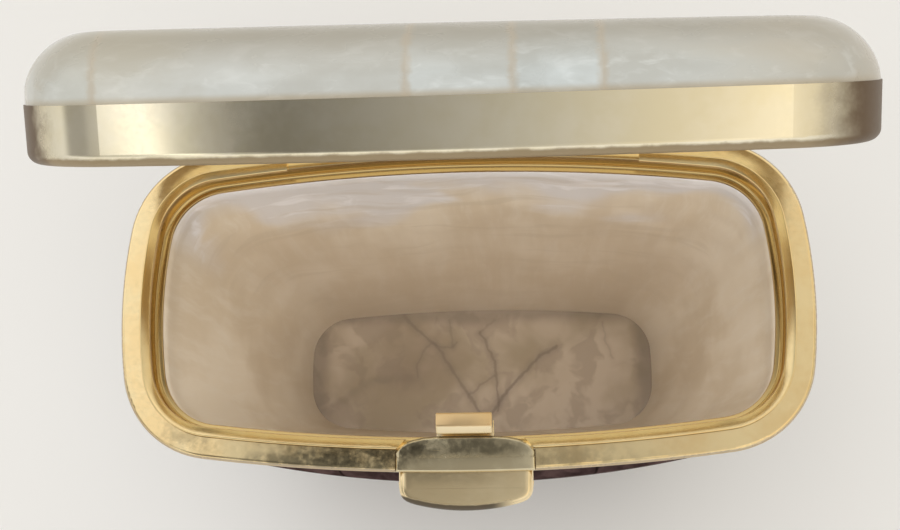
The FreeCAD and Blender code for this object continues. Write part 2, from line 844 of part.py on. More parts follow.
def make_lid_strips():
    """The pearl on top, in strips that run from front to back."""
    veneer = doc.addObject("Part::Cut", "Veneer")
    veneer.Base = domed_block("Dome", DOME_INSET, "dome_height", "dome_round")
    veneer.Tool = core_block("Hollow")
    reach = 2 * value(names("half_length"))
    cuts = [(-reach, 0), *LID_SEAMS, (reach, 0)]
    for n in range(len(cuts) - 1):
        (left, left_slant), (right, right_slant) = cuts[n], cuts[n + 1]
        slab = new_body(f"Slab{n + 1}")
        sketch = new_sketch(slab, "outline", f"{LID_TOP_OF_BAND} - past")
        corners = []
        for x, slant, half_gap, y in (
            (left, left_slant, "seam_width / 2", -reach / 2),
            (right, right_slant, "-seam_width / 2", -reach / 2),
            (right, right_slant, "-seam_width / 2", reach / 2),
            (left, left_slant, "seam_width / 2", reach / 2),
        ):
            corners.append((f"{x} + {half_gap} - tan({slant} * 1deg) * {y}", str(y)))
        add_profile(sketch, corners)
        pad(slab, sketch, "dome_height + 2 * past")
        strip = doc.addObject("Part::Common", f"LidStrip{n + 1}")
        strip.Base = veneer
        strip.Tool = slab
        output(strip, f"lid_strip_{n + 1}")


def make_lid_liner():
    """The thin gilt plate that closes the lid's underside, below the core."""
    body = new_body("LidLiner")
    sketch = new_sketch(body, "outline", f"{LID_TOP_OF_BAND} - liner_thickness")
    add_outline(sketch, rim_outline("band_wall - lid_overhang + panel_clearance"))
    pad(body, sketch, "liner_thickness")
    return output(body, "lid_liner")


def make_striker():
    """The plate inside the lid's front wall, with the ledge that the hook holds."""
    body = new_body("Striker")
    sketch = new_sketch(body, "profile", "0", "YZ_Plane")
    wall = "-half_width - lid_overhang + band_wall + 2 * fit_gap"
    ledge = f"{HOOK_FRONT} + striker_engagement"
    low = "rim_height + striker_low"
    high = "rim_height + striker_high"
    add_profile(
        sketch,
        [
            (wall, low),
            (ledge, low),
            (ledge, f"{low} + striker_wall"),
            (f"{wall} + striker_wall", f"{low} + striker_wall"),
            (f"{wall} + striker_wall", high),
            (wall, high),
        ],
    )
    pad_both_ways(body, sketch, "2 * (hook_half_length + striker_wall)")
    return output(body, "lid_striker")


def stand_lid_open(first):
    """Turn every lid piece about the hinge, from closed to its place at rest."""
    axis = Vector(0, value(names(HINGE_Y)), value(names(HINGE_Z)))
    turn = Rotation(Vector(1, 0, 0), -value(names("open_angle")))
    for piece in OUTPUTS[first:]:
        piece.Placement = Placement(axis - turn.multVec(axis), turn)


make_outer_case()
make_pearl_lining()
make_panel("BottomPlate", "bottom_plate", "0", "bottom_thickness", "0")
make_panel("FloorPanel", "floor_panel", "bottom_thickness", "floor_thickness", "floor_rise")
make_base_rim()
make_inner_lip()
make_latch_cover()
make_base_hinge()
make_hinge_pin()
make_thumb_tab()
make_catch_hook()
make_latch_springs()
lid_start = len(OUTPUTS)
make_lid_band()
make_lid_liner()
make_lid_core()
make_lid_strips()
make_lid_hinge()
make_striker()
doc.recompute()
stand_lid_open(lid_start)
doc.recompute()

for thing in doc.Objects:
    if "Invalid" in thing.State or "Error" in thing.State:
        raise RuntimeError(f"{thing.Name} failed: {thing.State}")
for piece in OUTPUTS:
    if piece.Shape.isNull() or not piece.Shape.isValid():
        raise RuntimeError(f"{piece.Label} has no valid shape")

os.makedirs("parts", exist_ok=True)
for piece in OUTPUTS:
    piece.Shape.exportStep(f"parts/{piece.Label}.step")
    print(f"{piece.Label}: {piece.Shape.Volume:.1f} mm3, {len(piece.Shape.Solids)} solid(s)")
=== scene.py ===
import json
import math

import bmesh
import bpy
from mathutils import Matrix, Vector


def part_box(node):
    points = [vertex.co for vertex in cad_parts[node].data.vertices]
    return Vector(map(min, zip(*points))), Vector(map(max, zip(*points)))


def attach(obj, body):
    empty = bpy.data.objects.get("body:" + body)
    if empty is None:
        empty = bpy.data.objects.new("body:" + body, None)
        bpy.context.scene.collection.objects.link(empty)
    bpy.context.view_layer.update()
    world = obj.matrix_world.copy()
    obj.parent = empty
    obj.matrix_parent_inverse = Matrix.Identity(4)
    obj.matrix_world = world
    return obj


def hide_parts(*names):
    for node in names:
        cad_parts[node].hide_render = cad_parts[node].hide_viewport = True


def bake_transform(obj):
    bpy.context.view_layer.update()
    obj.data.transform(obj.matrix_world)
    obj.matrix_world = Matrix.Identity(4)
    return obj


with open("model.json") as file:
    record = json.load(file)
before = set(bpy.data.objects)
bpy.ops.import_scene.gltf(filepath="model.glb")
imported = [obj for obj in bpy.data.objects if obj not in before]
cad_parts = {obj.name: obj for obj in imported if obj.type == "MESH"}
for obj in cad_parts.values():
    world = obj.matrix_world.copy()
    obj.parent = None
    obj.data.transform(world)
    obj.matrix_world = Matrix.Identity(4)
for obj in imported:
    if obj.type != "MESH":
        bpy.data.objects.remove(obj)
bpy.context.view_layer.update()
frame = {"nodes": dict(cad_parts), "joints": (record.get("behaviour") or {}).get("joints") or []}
nodes = frame["nodes"]
MM = 0.001
hinge = next(joint for joint in frame["joints"] if joint["name"] == "lid_hinge")
OPEN_ANGLE = math.radians(-hinge["range_deg"][0])
HINGE_AT = Vector(hinge["pos_m"])

# Sizes and places are in millimetres, in the frame's own axes. A shape is a half length and a half width,
# then the radii of its front, side and corner arcs.
SIDE_RADIUS = 47
RIM_SHAPE = (32, 16, 190, SIDE_RADIUS, 8.8)
LID_OVERHANG = 0.55
LID_SHAPE = tuple(size + LID_OVERHANG for size in RIM_SHAPE)

# The case's outside and the lining's inside, each as (height, half length, half width, corner radius).
CASE_TOP = 46.4
CASE = [(0, 24, 10.2, 6.8), (22, 30, 14.9, 8.6), (40.5, 31.7, 16.35, 8.6), (CASE_TOP, 31.4, 15.75, 8.6)]
LINING_WALLS = [(0, 21, 7.4, 5), (22, 26, 10.8, 5.6), (40.5, 28.6, 12.6, 5.6), (CASE_TOP, 28.7, 12.7, 5.6)]
CASE_FRONT_RADIUS, LINING_FRONT_RADIUS = 108, 185
LINING_THICK = 1.1

# The lip: how far inside the rim's outline its outer face is, and its heights. The window lets the hook out.
LIP_OUTER = 1.92
LIP_FOOT, LIP_TOP = 46.42, 49.0
WINDOW_HALF, WINDOW_SILL, WINDOW_HEAD = 2.75, 47.3, 48.14
COVER_HALF, TAB_HALF, HOOK_HALF = 6.25, 6.1, 2.5
HINGE_GAP = 16.8
SPRING_OFFSET, SPRING_HEIGHT = 4.4, 47.58

# The closed lid's strips: where they start, how high they rise and fall off to the right, and how thick they
# are. Seams are (x, slant in degrees).
LID_BASE = 53.45
DOME_HEIGHT, DOME_SLOPE = 4.95, 0.01
STRIP_THICK = 1.22
SEAMS = [(-24.3, 0), (-1.1, -3.8), (5.05, 0), (11.1, 0)]


# ------------------------------------------------------------------ camera


CAMERA_AT = (5.2137, -23.67, 159.37)
CAMERA_TURN = (0.2357, 0.0600, -0.0083)
CAMERA_LENS, SENSOR_WIDTH = 49.14, 36


def add_camera():
    """The photo's camera, as fitted to the outlines of the rim, lip, lining, floor and lid."""
    camera = bpy.data.objects.new("camera", bpy.data.cameras.new("camera"))
    bpy.context.scene.collection.objects.link(camera)
    camera.location = Vector(CAMERA_AT) * MM
    camera.rotation_euler = CAMERA_TURN
    camera.data.sensor_width = SENSOR_WIDTH
    camera.data.lens = CAMERA_LENS
    camera.data.clip_start = 5 * MM
    camera.data.clip_end = 10
    bpy.context.scene.camera = camera


add_camera()


# ------------------------------------------------------------------ outlines and lofts


FRONT_STEPS, CORNER_STEPS, SIDE_STEPS = 32, 16, 14


def arc_rays(centre, radius, start, end, steps):
    """Rays along an arc, each as its centre's x and y, its radius, and its direction's x and y."""
    rays = []
    for n in range(steps + 1):
        angle = start + (end - start) * n / steps
        rays.append((centre[0], centre[1], radius, math.cos(angle), math.sin(angle)))
    return rays


def outline(shape, gaps=()):
    """Rays (centre, radius, direction) round an outline of eight arcs, from the front's middle to the right.

    gaps are distances from the middle where the front and rear arcs must have a ray."""
    half_length, half_width, front_radius, side_radius, corner_radius = shape
    front = Vector((0, front_radius - half_width))
    side = Vector((half_length - side_radius, 0))
    reach, other = front_radius - corner_radius, side_radius - corner_radius
    apart = side - front
    along = (reach ** 2 - other ** 2 + apart.length_squared) / (2 * apart.length)
    off = math.sqrt(reach ** 2 - along ** 2)
    unit = apart.normalized()
    corner = max((front + unit * along + Vector((-unit.y, unit.x)) * off * sign for sign in (-1, 1)),
                 key=lambda point: point.x)
    first = math.atan2(corner.y - front.y, corner.x - front.x)
    second = math.atan2(corner.y - side.y, corner.x - side.x)
    stops = [-math.pi / 2, *(-math.acos(gap / front_radius) for gap in gaps), first]
    quarter = []
    for start, end in zip(stops, stops[1:]):
        steps = max(2, round(FRONT_STEPS * (end - start) / (first + math.pi / 2)))
        quarter += arc_rays(front, front_radius, start, end, steps)[:-1]
    quarter += arc_rays(corner, corner_radius, first, second, CORNER_STEPS)[:-1]
    quarter += arc_rays(side, side_radius, second, 0, SIDE_STEPS)
    behind = [(x, -y, r, u, -v) for x, y, r, u, v in reversed(quarter)][1:]
    right = quarter + behind
    left = [(-x, y, r, -u, v) for x, y, r, u, v in reversed(right)][1:-1]
    return right + left


def ring(rays, inset, z):
    """Points, in metres, where rays end at this height, drawn in by inset."""
    return [((x + (r - inset) * u) * MM, (y + (r - inset) * v) * MM, z * MM) for x, y, r, u, v in rays]


def between(sections, z):
    """Sizes of a wall at a height, on a smooth curve through its sections."""
    heights = [section[0] for section in sections]
    n = max(0, min(len(sections) - 2, sum(h <= z for h in heights) - 1))
    low, high = sections[n], sections[n + 1]
    run = high[0] - low[0]
    t = (z - low[0]) / run

    def slope(k, i):
        before, after = sections[max(k - 1, 0)], sections[min(k + 1, len(sections) - 1)]
        return (after[i] - before[i]) / (after[0] - before[0])

    sizes = []
    for i in range(1, len(low)):
        lift = (1 + 2 * t) * (1 - t) ** 2 * low[i] + t * t * (3 - 2 * t) * high[i]
        lift += run * (t * (1 - t) ** 2 * slope(n, i) + t * t * (t - 1) * slope(n + 1, i))
        sizes.append(lift)
    return sizes


def wall_ring(sections, front_radius, grow, z):
    """A ring round a tapering wall at a height, pushed out by grow."""
    length, width, corner = between(sections, z)
    return ring(outline((length, width, front_radius, SIDE_RADIUS, corner)), -grow, z)


def case_ring(grow, z):
    return wall_ring(CASE, CASE_FRONT_RADIUS, grow, z)


def lining_ring(grow, z):
    return wall_ring(LINING_WALLS, LINING_FRONT_RADIUS, grow, z)


def skin(shape, rings, closed_rings=True, join_ends=False, caps=False):
    """Faces between rings of points.

    join_ends joins the last ring to the first, caps closes both of them, and rings that aren't closed get a
    face at each end of the run."""
    rows = [[shape.verts.new(point) for point in points] for points in rings]
    pairs = list(zip(rows, rows[1:]))
    if join_ends:
        pairs.append((rows[-1], rows[0]))
    count = len(rows[0])
    for low, high in pairs:
        for n in range(count if closed_rings else count - 1):
            after = (n + 1) % count
            shape.faces.new((low[n], low[after], high[after], high[n]))
    if not closed_rings:
        shape.faces.new([row[0] for row in rows])
        shape.faces.new([row[-1] for row in reversed(rows)])
    if caps:
        shape.faces.new(list(reversed(rows[0])))
        shape.faces.new(rows[-1])


def add_piece(name, shape, body, replaces, sharp=35, blend=None):
    """Turn built faces into a piece that stands for CAD nodes, which are hidden, and that rides on a body
    unless blend is given.

    blend, for a piece that joins two bodies, is the body it follows past its end, then its start and end;
    only whether it is given is read, and such a piece stays where it was built, on no body."""
    bmesh.ops.recalc_face_normals(shape, faces=shape.faces)
    mesh = bpy.data.meshes.new(name)
    shape.to_mesh(mesh)
    shape.free()
    mesh.shade_smooth()
    mesh.set_sharp_from_angle(angle=math.radians(sharp))
    piece = bpy.data.objects.new(name, mesh)
    bpy.context.scene.collection.objects.link(piece)
    if blend:
        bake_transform(piece)
    else:
        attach(piece, body)
    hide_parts(*replaces)


def arc_profile(centre, radii, start, end, steps):
    """(inset, height) pairs along part of an ellipse, in degrees."""
    pairs = []
    for n in range(steps + 1):
        angle = math.radians(start + (end - start) * n / steps)
        pairs.append((centre[0] + radii[0] * math.cos(angle), centre[1] + radii[1] * math.sin(angle)))
    return pairs


# ------------------------------------------------------------------ case and lining


def add_case():
    """The tapering wall of the case, with its foot and its shoulder softened."""
    shape = bmesh.new()
    soft, levels, inner_levels, glue_gap = 0.35, 26, 12, 0.03
    heights = [soft, *(CASE_TOP * n / levels for n in range(1, levels)), CASE_TOP - soft]
    outside = [case_ring(-soft, 0), case_ring(-0.1, 0.1)]
    outside += [case_ring(0, z) for z in heights] + [case_ring(-soft, CASE_TOP - 0.01)]
    inside = [lining_ring(LINING_THICK + glue_gap, CASE_TOP * n / inner_levels)
              for n in range(inner_levels, -1, -1)]
    skin(shape, outside + inside, join_ends=True)
    add_piece("shell_wall", shape, "base", ["outer_case"])


def add_lining():
    """The pearl wall inside the case, with a rounded top edge."""
    shape = bmesh.new()
    low, high, levels = 3.02, 46.12, 26
    heights = [low + (high - low) * n / levels for n in range(levels + 1)]
    inside = [lining_ring(0, z) for z in heights]
    top = [lining_ring(grow, z) for grow, z in ((0.08, 46.3), (0.28, 46.38), (LINING_THICK, 46.38))]
    outside = [lining_ring(LINING_THICK, z) for z in reversed(heights)]
    skin(shape, inside + top + outside, join_ends=True)
    add_piece("pearl_wall", shape, "base", ["pearl_lining"])


# ------------------------------------------------------------------ lip and catch


def run_between(rays, side, front_gap, rear_gap):
    """The rays on one side of the outline, from its front gap to its rear gap."""
    half = [(side * x, y, r, side * u, v) for x, y, r, u, v in rays]
    kept = [ray for ray in half if ray[0] + ray[2] * ray[3] >= (front_gap if ray[4] < 0 else rear_gap) - 1e-6]
    kept.sort(key=lambda ray: math.atan2(ray[1] + ray[2] * ray[4], ray[0] + ray[2] * ray[3]))
    return [(side * x, y, r, side * u, v) for x, y, r, u, v in kept]


def add_bead(shape, run, side):
    """The bright bead on the lip, in two ridges, cut at a slant beside the catch."""
    ridges = arc_profile((2.06, 49.38), (0.13, 0.165), 180, 75, 6)
    ridges += arc_profile((2.7, 49.2), (0.14, 0.165), 75, 0, 6)
    slanted, slant, slant_from = 8, 0.9, 1.9
    rings = []
    for inset, z in [(1.93, 48.8), *ridges, (2.84, 48.9), (2.74, 48.8)]:
        points = ring(run, inset, z)
        for n in range(slanted):
            x, y, height = points[n]
            away = slant * max(0.0, inset - slant_from) * MM * (1 - n / slanted)
            points[n] = (x - side * away, y, height)
        rings.append(points)
    skin(shape, rings, closed_rings=False, join_ends=True)


def add_lip():
    """The wall round the mouth with its foot on the pearl, its bead in two runs, and the hook's window."""
    shape = bmesh.new()
    rays = outline(RIM_SHAPE, (WINDOW_HALF, COVER_HALF, HINGE_GAP))
    flare = arc_profile((3.02, 47.22), (0.38, 0.4), 180, 270, 6)
    foot = flare + [(3.25, 46.8), (3.3, 46.74), (3.3, LIP_FOOT)]
    top = [(LIP_OUTER, 48.94), (1.98, LIP_TOP), (2.5, LIP_TOP), (2.6, 48.94)]
    wall = [(LIP_OUTER, LIP_FOOT), *top, (2.64, 48.2)] + foot
    sill = [(LIP_OUTER, LIP_FOOT), (LIP_OUTER, WINDOW_SILL), (2.66, WINDOW_SILL)] + foot[1:]
    lintel = [(LIP_OUTER, WINDOW_HEAD), *top, (2.62, WINDOW_HEAD)]
    for side in (1, -1):
        run = run_between(rays, side, WINDOW_HALF, 0)
        skin(shape, [ring(run, *place) for place in wall], closed_rings=False, join_ends=True)
        add_bead(shape, run_between(rays, side, COVER_HALF, HINGE_GAP), side)
    middle = [ray for ray in rays if ray[4] < 0 and abs(ray[0] + ray[2] * ray[3]) <= WINDOW_HALF + 1e-6]
    middle.sort(key=lambda ray: ray[3])
    for profile in (sill, lintel):
        skin(shape, [ring(middle, *place) for place in profile], closed_rings=False, join_ends=True)
    add_piece("gilt_lip", shape, "base", ["inner_lip"])


def rounded_corner(before, point, after, reach, steps=5):
    """Points along a soft curve in place of a corner, starting and ending at reach from it."""
    first = point + (before - point).normalized() * reach
    last = point + (after - point).normalized() * reach
    curve = []
    for k in range(steps + 1):
        t = k / steps
        curve.append(first * (1 - t) ** 2 + point * 2 * t * (1 - t) + last * t * t)
    return curve


def inset_polygon(points, inset):
    """A polygon drawn in by inset, square to its edges."""
    moved = []
    for n, point in enumerate(points):
        before, after = points[n - 1], points[(n + 1) % len(points)]
        first, last = (point - before).normalized(), (after - point).normalized()
        normal = Vector((-(first.y + last.y), first.x + last.x)).normalized()
        widen = max(0.5, normal.dot(Vector((-first.y, first.x))))
        moved.append(point + normal * inset / widen)
    return moved


def add_slab(shape, points, low, high, under, over, crown=()):
    """A plate with this outline, its lower edge rounded by under and its upper by over.

    crown adds insets for further rings on the flat top."""
    profile = arc_profile((under, low + under), (under, under), 270, 180, 3)
    profile += arc_profile((over, high - over), (over, over), 180, 90, 5)
    profile += [(over + inset, high) for inset in crown]
    rings = [[(p.x * MM, p.y * MM, z * MM) for p in inset_polygon(points, inset)] for inset, z in profile]
    skin(shape, rings, caps=True)


def droop(shape, start, depth, reach, above=47.2):
    """Bend what is above a height down towards the front, from y = start, by depth over reach."""
    for vert in shape.verts:
        ahead = max(0.0, start - vert.co.y / MM) / reach
        if vert.co.z / MM > above:
            vert.co.z -= depth * MM * ahead * ahead * (2 - ahead if ahead < 1 else 1)


def bowed(half_length, side, middle, steps=20):
    """An edge from left to right that an arc bows out, from y = side at its ends to y = middle."""
    bow = side - middle
    radius = (half_length ** 2 + bow ** 2) / (2 * bow)
    centre = middle + radius
    half = math.asin(half_length / radius)
    points = []
    for n in range(steps + 1):
        angle = -half + 2 * half * n / steps
        points.append(Vector((radius * math.sin(angle), centre - radius * math.cos(angle))))
    return points


def add_cover():
    """The plate let into the flange: a rear edge that swells out, and a front edge that droops."""
    shape = bmesh.new()
    rear_corner, rear_swell = -14.3, 1.5
    across = (1, 0.97, 0.92, 0.85, 0.75, 0.6, 0.4, 0.2, 0)
    across += tuple(-part for part in reversed(across[:-1]))
    rear = [Vector((COVER_HALF * c, rear_corner + rear_swell * (1 - c ** 4) ** 0.6)) for c in across]
    front = bowed(COVER_HALF, side=-15.9, middle=-15.99)
    add_slab(shape, rear + front, low=48.45, high=49.02, under=0.1, over=0.2, crown=(0.15, 0.4))
    droop(shape, start=-14.9, depth=0.22, reach=1.1)
    add_piece("catch_plate", shape, "base", ["latch_cover"], sharp=60)


def add_tab():
    """The thumb tab: a rounded plate, a block under its front, and a tongue that reaches back to the hook."""
    shape = bmesh.new()
    block_rear, plate_rear, tongue_front, tongue_rear, tongue_half = -16.75, -15.05, -15.4, -11.35, 2.6
    arc = bowed(TAB_HALF, side=-18.3, middle=-19.3, steps=24)
    corner = arc[0] + Vector((0.12, 0))
    left = rounded_corner(Vector((-TAB_HALF, -16)), corner, arc[3], reach=0.95)
    right = [Vector((-point.x, point.y)) for point in reversed(left)]
    front = left + arc[3:-3] + right
    plate = [Vector((TAB_HALF, plate_rear)), Vector((-TAB_HALF, plate_rear))] + front
    block = [Vector((TAB_HALF, block_rear)), Vector((-TAB_HALF, block_rear))] + front
    tongue = [Vector(place) for place in ((tongue_half, tongue_rear), (-tongue_half, tongue_rear),
                                          (-tongue_half, tongue_front), (tongue_half, tongue_front))]
    add_slab(shape, plate, low=47.41, high=48.04, under=0.05, over=0.5, crown=(0.3, 0.7))
    add_slab(shape, block, low=46.42, high=47.56, under=0.3, over=0.03)
    droop(shape, start=-16.0, depth=0.3, reach=3.0)
    add_slab(shape, tongue, low=47.42, high=48.02, under=0.06, over=0.06)
    add_piece("press_tab", shape, "latch", ["thumb_tab"], sharp=50)


def add_hook():
    """The hook over the mouth: a bevelled nose with a step beneath that catches the lid's striker."""
    shape = bmesh.new()
    profile = [(-12.0, 48.0), (-11.3, 48.0), (-11.3, 50.0), (-10.92, 50.4), (-10.92, 50.79), (-12.1, 50.79),
               (-12.72, 50.27), (-12.75, 50.0), (-12.0, 50.0)]
    skin(shape, [[(x * MM, y * MM, z * MM) for y, z in profile] for x in (-HOOK_HALF, HOOK_HALF)], caps=True)
    bmesh.ops.bevel(shape, geom=list(shape.edges), offset=0.13 * MM, offset_type="OFFSET", segments=3,
                    profile=0.5, affect="EDGES", clamp_overlap=True)
    add_piece("hook_nose", shape, "latch", ["catch_hook"], sharp=50)


def add_springs():
    """Two coil springs that the tab squeezes against the lip."""
    shape = bmesh.new()
    low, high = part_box("latch_springs")
    wire, coil, turns, steps, sides = 0.085, 0.4, 5, 20, 8
    front, back = low.y / MM + wire, high.y / MM - wire
    ahead = Vector((0, 1, 0))
    for side in (-SPRING_OFFSET, SPRING_OFFSET):
        rings = []
        for n in range(turns * steps + 1):
            angle = 2 * math.pi * n / steps
            outward = Vector((math.cos(angle), 0, math.sin(angle)))
            along = front + (back - front) * n / (turns * steps)
            middle = Vector((side, along, SPRING_HEIGHT)) + outward * coil
            rings.append([
                (middle + (outward * math.cos(turn) + ahead * math.sin(turn)) * wire) * MM
                for turn in (2 * math.pi * k / sides for k in range(sides))
            ])
        skin(shape, rings, caps=True)
    add_piece("coil_springs", shape, "latch", ["latch_springs"], sharp=80,
              blend=("base", (0, front * MM, SPRING_HEIGHT * MM), (0, back * MM, SPRING_HEIGHT * MM)))


# ------------------------------------------------------------------ lid strips


def dome_rings(inset, height, rounding, base):
    """Rings of a shallow dome on the lid's outline, rounded most at its two ends."""
    end_from, end_run, end_soft, end_shrink, steps = 26.5, 6, 0.5, 0.25, 12
    rays = outline(LID_SHAPE)
    rings = []
    for n in range(steps + 1):
        angle = math.radians(90 * n / steps)
        points = []
        for x, y, r, u, v in rays:
            end = min(1.0, max(0.0, (abs(x + r * u) - end_from) / end_run))
            soft = rounding + end_soft * end * end * (3 - 2 * end)
            away = inset + soft * (1 - math.cos(angle)) + end_shrink * end * math.sin(2 * angle)
            place = (x + (r - away) * u, y + (r - away) * v)
            top = height - DOME_SLOPE * place[0]
            lift = top - rounding + rounding * math.sin(angle) if n else 0
            points.append((place[0] * MM, place[1] * MM, (base + max(lift, 0)) * MM))
        rings.append(points)
    return rings


def add_strips():
    """Five pearl strips laid side by side, cut from one domed skin."""
    swing = (Matrix.Translation(HINGE_AT) @ Matrix.Rotation(-OPEN_ANGLE, 4, "X")
             @ Matrix.Translation(-HINGE_AT))
    edge_gap, past_the_lid = 0.1, 40
    outside = dome_rings(edge_gap, DOME_HEIGHT, 4.5, LID_BASE)
    inside = dome_rings(edge_gap + STRIP_THICK, DOME_HEIGHT - STRIP_THICK, 3.3, LID_BASE)
    cuts = [(-past_the_lid, 0), *SEAMS, (past_the_lid, 0)]
    for n in range(len(cuts) - 1):
        shape = bmesh.new()
        skin(shape, list(reversed(inside)) + outside, caps=True)
        for (place, slant), side in ((cuts[n], -1), (cuts[n + 1], 1)):
            tilt = math.radians(slant)
            cut = bmesh.ops.bisect_plane(
                shape, geom=list(shape.verts) + list(shape.edges) + list(shape.faces),
                plane_co=(place * MM, 0, 0), plane_no=(side * math.cos(tilt), side * math.sin(tilt), 0),
                clear_outer=True,
            )
            edges = [item for item in cut["geom_cut"] if isinstance(item, bmesh.types.BMEdge)]
            if edges:
                bmesh.ops.holes_fill(shape, edges=edges, sides=0)
        shape.transform(swing)
        add_piece(f"nacre_strip_{n + 1}", shape, "lid", [f"lid_strip_{n + 1}"], sharp=50)


add_case()
add_lining()
add_lip()
add_cover()
add_tab()
add_hook()
add_springs()
add_strips()


# ------------------------------------------------------------------ material helpers


RAMP_REACH = 2.0


class Shader:
    """A node tree built by short calls; inputs are numbers, colours or other nodes' outputs."""

    def __init__(self, name):
        self.material = bpy.data.materials.new(name)
        self.material.use_nodes = True
        self.tree = self.material.node_tree
        self.tree.nodes.clear()
        out = self.tree.nodes.new("ShaderNodeOutputMaterial")
        self.bsdf = self.tree.nodes.new("ShaderNodeBsdfPrincipled")
        self.tree.links.new(self.bsdf.outputs[0], out.inputs["Surface"])

    def node(self, kind, inputs=None, **settings):
        made = self.tree.nodes.new(f"ShaderNode{kind}")
        for key, value in settings.items():
            setattr(made, key, value)
        for key, value in (inputs or {}).items():
            self.put(made.inputs[key], value)
        return made

    def put(self, socket, value):
        """Link an output to a socket, or set the socket to a number or a colour."""
        if isinstance(value, bpy.types.NodeSocket):
            self.tree.links.new(value, socket)
        elif hasattr(value, "__len__") and len(value) == 3 and socket.type == "RGBA":
            socket.default_value = (*value, 1)
        else:
            socket.default_value = value

    def surface(self, **values):
        """Set the Principled shader's own sockets."""
        for key, value in values.items():
            self.put(self.bsdf.inputs[key.replace("_", " ")], value)

    def place(self, scale=(1, 1, 1)):
        """The object's own coordinates in millimetres, scaled."""
        at = self.node("TexCoord").outputs["Object"]
        size = [s / MM for s in scale]
        return self.node("Mapping", {"Vector": at, "Scale": size}).outputs[0]

    def noise(self, at, scale, detail, rough):
        inputs = {"Vector": at, "Scale": scale, "Detail": detail, "Roughness": rough}
        return self.node("TexNoise", inputs).outputs["Fac"]

    def span(self, value, low, high, to_low=0.0, to_high=1.0):
        """Map a value from one range to another, clamped and smooth."""
        inputs = {"Value": value, "From Min": low, "From Max": high, "To Min": to_low, "To Max": to_high}
        return self.node("MapRange", inputs, interpolation_type="SMOOTHSTEP").outputs[0]

    def math(self, operation, *values):
        return self.node("Math", dict(enumerate(values)), operation=operation).outputs[0]

    def mix(self, factor, first, second):
        """Mix two colours."""
        made = self.tree.nodes.new("ShaderNodeMix")
        made.data_type = "RGBA"
        self.put(made.inputs["Factor"], factor)
        self.put(made.inputs[6], first)
        self.put(made.inputs[7], second)
        return made.outputs[2]

    def ramp(self, value, stops):
        """A number that follows stops, given as (value, number), with straight runs between them.

        Values run from -RAMP_REACH to RAMP_REACH, and numbers from 0 to RAMP_REACH."""
        part = self.math("DIVIDE", self.math("ADD", value, RAMP_REACH), 2 * RAMP_REACH)
        made = self.node("FloatCurve", {"Value": part})
        curve = made.mapping.curves[0]
        made.mapping.extend = "HORIZONTAL"
        while len(curve.points) < len(stops):
            curve.points.new(0.5, 0.5)
        for point, (place, number) in zip(curve.points, stops):
            point.location = ((place + RAMP_REACH) / (2 * RAMP_REACH), number / RAMP_REACH)
            point.handle_type = "VECTOR"
        made.mapping.update()
        return self.math("MULTIPLY", made.outputs[0], RAMP_REACH)

    def split(self, vector):
        return self.node("SeparateXYZ", {0: vector}).outputs

    def bump(self, height, distance, strength):
        inputs = {"Height": height, "Distance": distance * MM, "Strength": strength}
        made = self.node("Bump", inputs)
        self.put(self.bsdf.inputs["Normal"], made.outputs[0])

    def vector(self, operation, *values, **named):
        made = self.node("VectorMath", dict(enumerate(values)), operation=operation)
        for key, value in named.items():
            self.put(made.inputs[key], value)
        return made.outputs["Value" if operation in ("LENGTH", "DOT_PRODUCT", "DISTANCE") else "Vector"]

    def wobble(self, at, scale, reach, detail=2):
        """Push a place about by up to reach, in soft waves."""
        push = self.node("TexNoise", {"Vector": at, "Scale": scale, "Detail": detail}).outputs["Color"]
        push = self.vector("SUBTRACT", push, (0.5, 0.5, 0.5))
        return self.vector("ADD", at, self.vector("SCALE", push, Scale=2 * reach))

    def flat(self, at):
        """A place with its height taken away."""
        return self.vector("MULTIPLY", at, (1, 1, 0))

    def other_sheet(self, at, number, along_y, along_z):
        """A place moved far off for each new number, so that neighbouring strips have different clouds."""
        move = self.node("CombineXYZ", {0: 0.0, 1: self.math("MULTIPLY", number, along_y),
                                        2: self.math("MULTIPLY", number, along_z)}).outputs[0]
        return self.vector("ADD", at, move)

    def line_distance(self, at, points):
        """Distance from a place to a line through points, seen from above."""
        nearest = None
        for (ax, ay), (bx, by) in zip(points, points[1:]):
            along = (bx - ax, by - ay, 0)
            length = along[0] ** 2 + along[1] ** 2
            offset = self.vector("SUBTRACT", at, (ax, ay, 0))
            part = self.math("DIVIDE", self.vector("DOT_PRODUCT", offset, along), length)
            part.node.use_clamp = True
            reached = self.vector("SCALE", along, Scale=part)
            away = self.vector("DISTANCE", offset, reached)
            nearest = away if nearest is None else self.math("MINIMUM", nearest, away)
        return nearest

    def spot(self, at, centre, reach, soft=0.5):
        """1 inside an ellipse seen from above, falling to 0 around it."""
        offset = self.vector("SUBTRACT", at, (*centre, 0))
        away = self.vector("LENGTH", self.vector("DIVIDE", offset, (*reach, 1)))
        return self.span(away, 1 - soft, 1 + soft, 1, 0)


# ------------------------------------------------------------------ materials


# Dark olive for patches on the flat gilt: partly tarnish, partly painted dark reflection of the room.
TARNISH_AND_DARK_REFLECTION = (0.22, 0.19, 0.12)
# Deep brown: a painted shadow on the hook's stem, and at the band's ends partly tarnish, partly painted dark
# reflection.
BROWN_TARNISH_AND_SHADE = (0.12, 0.072, 0.032)
# The band's foot: painted shade along its lower edge.
BAND_FOOT_SHADE = (0.30, 0.215, 0.115)
# A tint that starts at this y, ahead of every piece, covers a whole edge.
EVERYWHERE = -20


def lid_place(s):
    """The object's coordinates turned back to the closed lid, in millimetres."""
    at = s.place()
    turn = s.node("Mapping", {"Vector": at, "Rotation": (OPEN_ANGLE, 0, 0)})
    pivot = HINGE_AT / MM
    swung = Vector((0, pivot.y * math.cos(OPEN_ANGLE) - pivot.z * math.sin(OPEN_ANGLE),
                    pivot.y * math.sin(OPEN_ANGLE) + pivot.z * math.cos(OPEN_ANGLE)))
    turn.inputs["Location"].default_value = pivot - swung
    return turn.outputs[0]


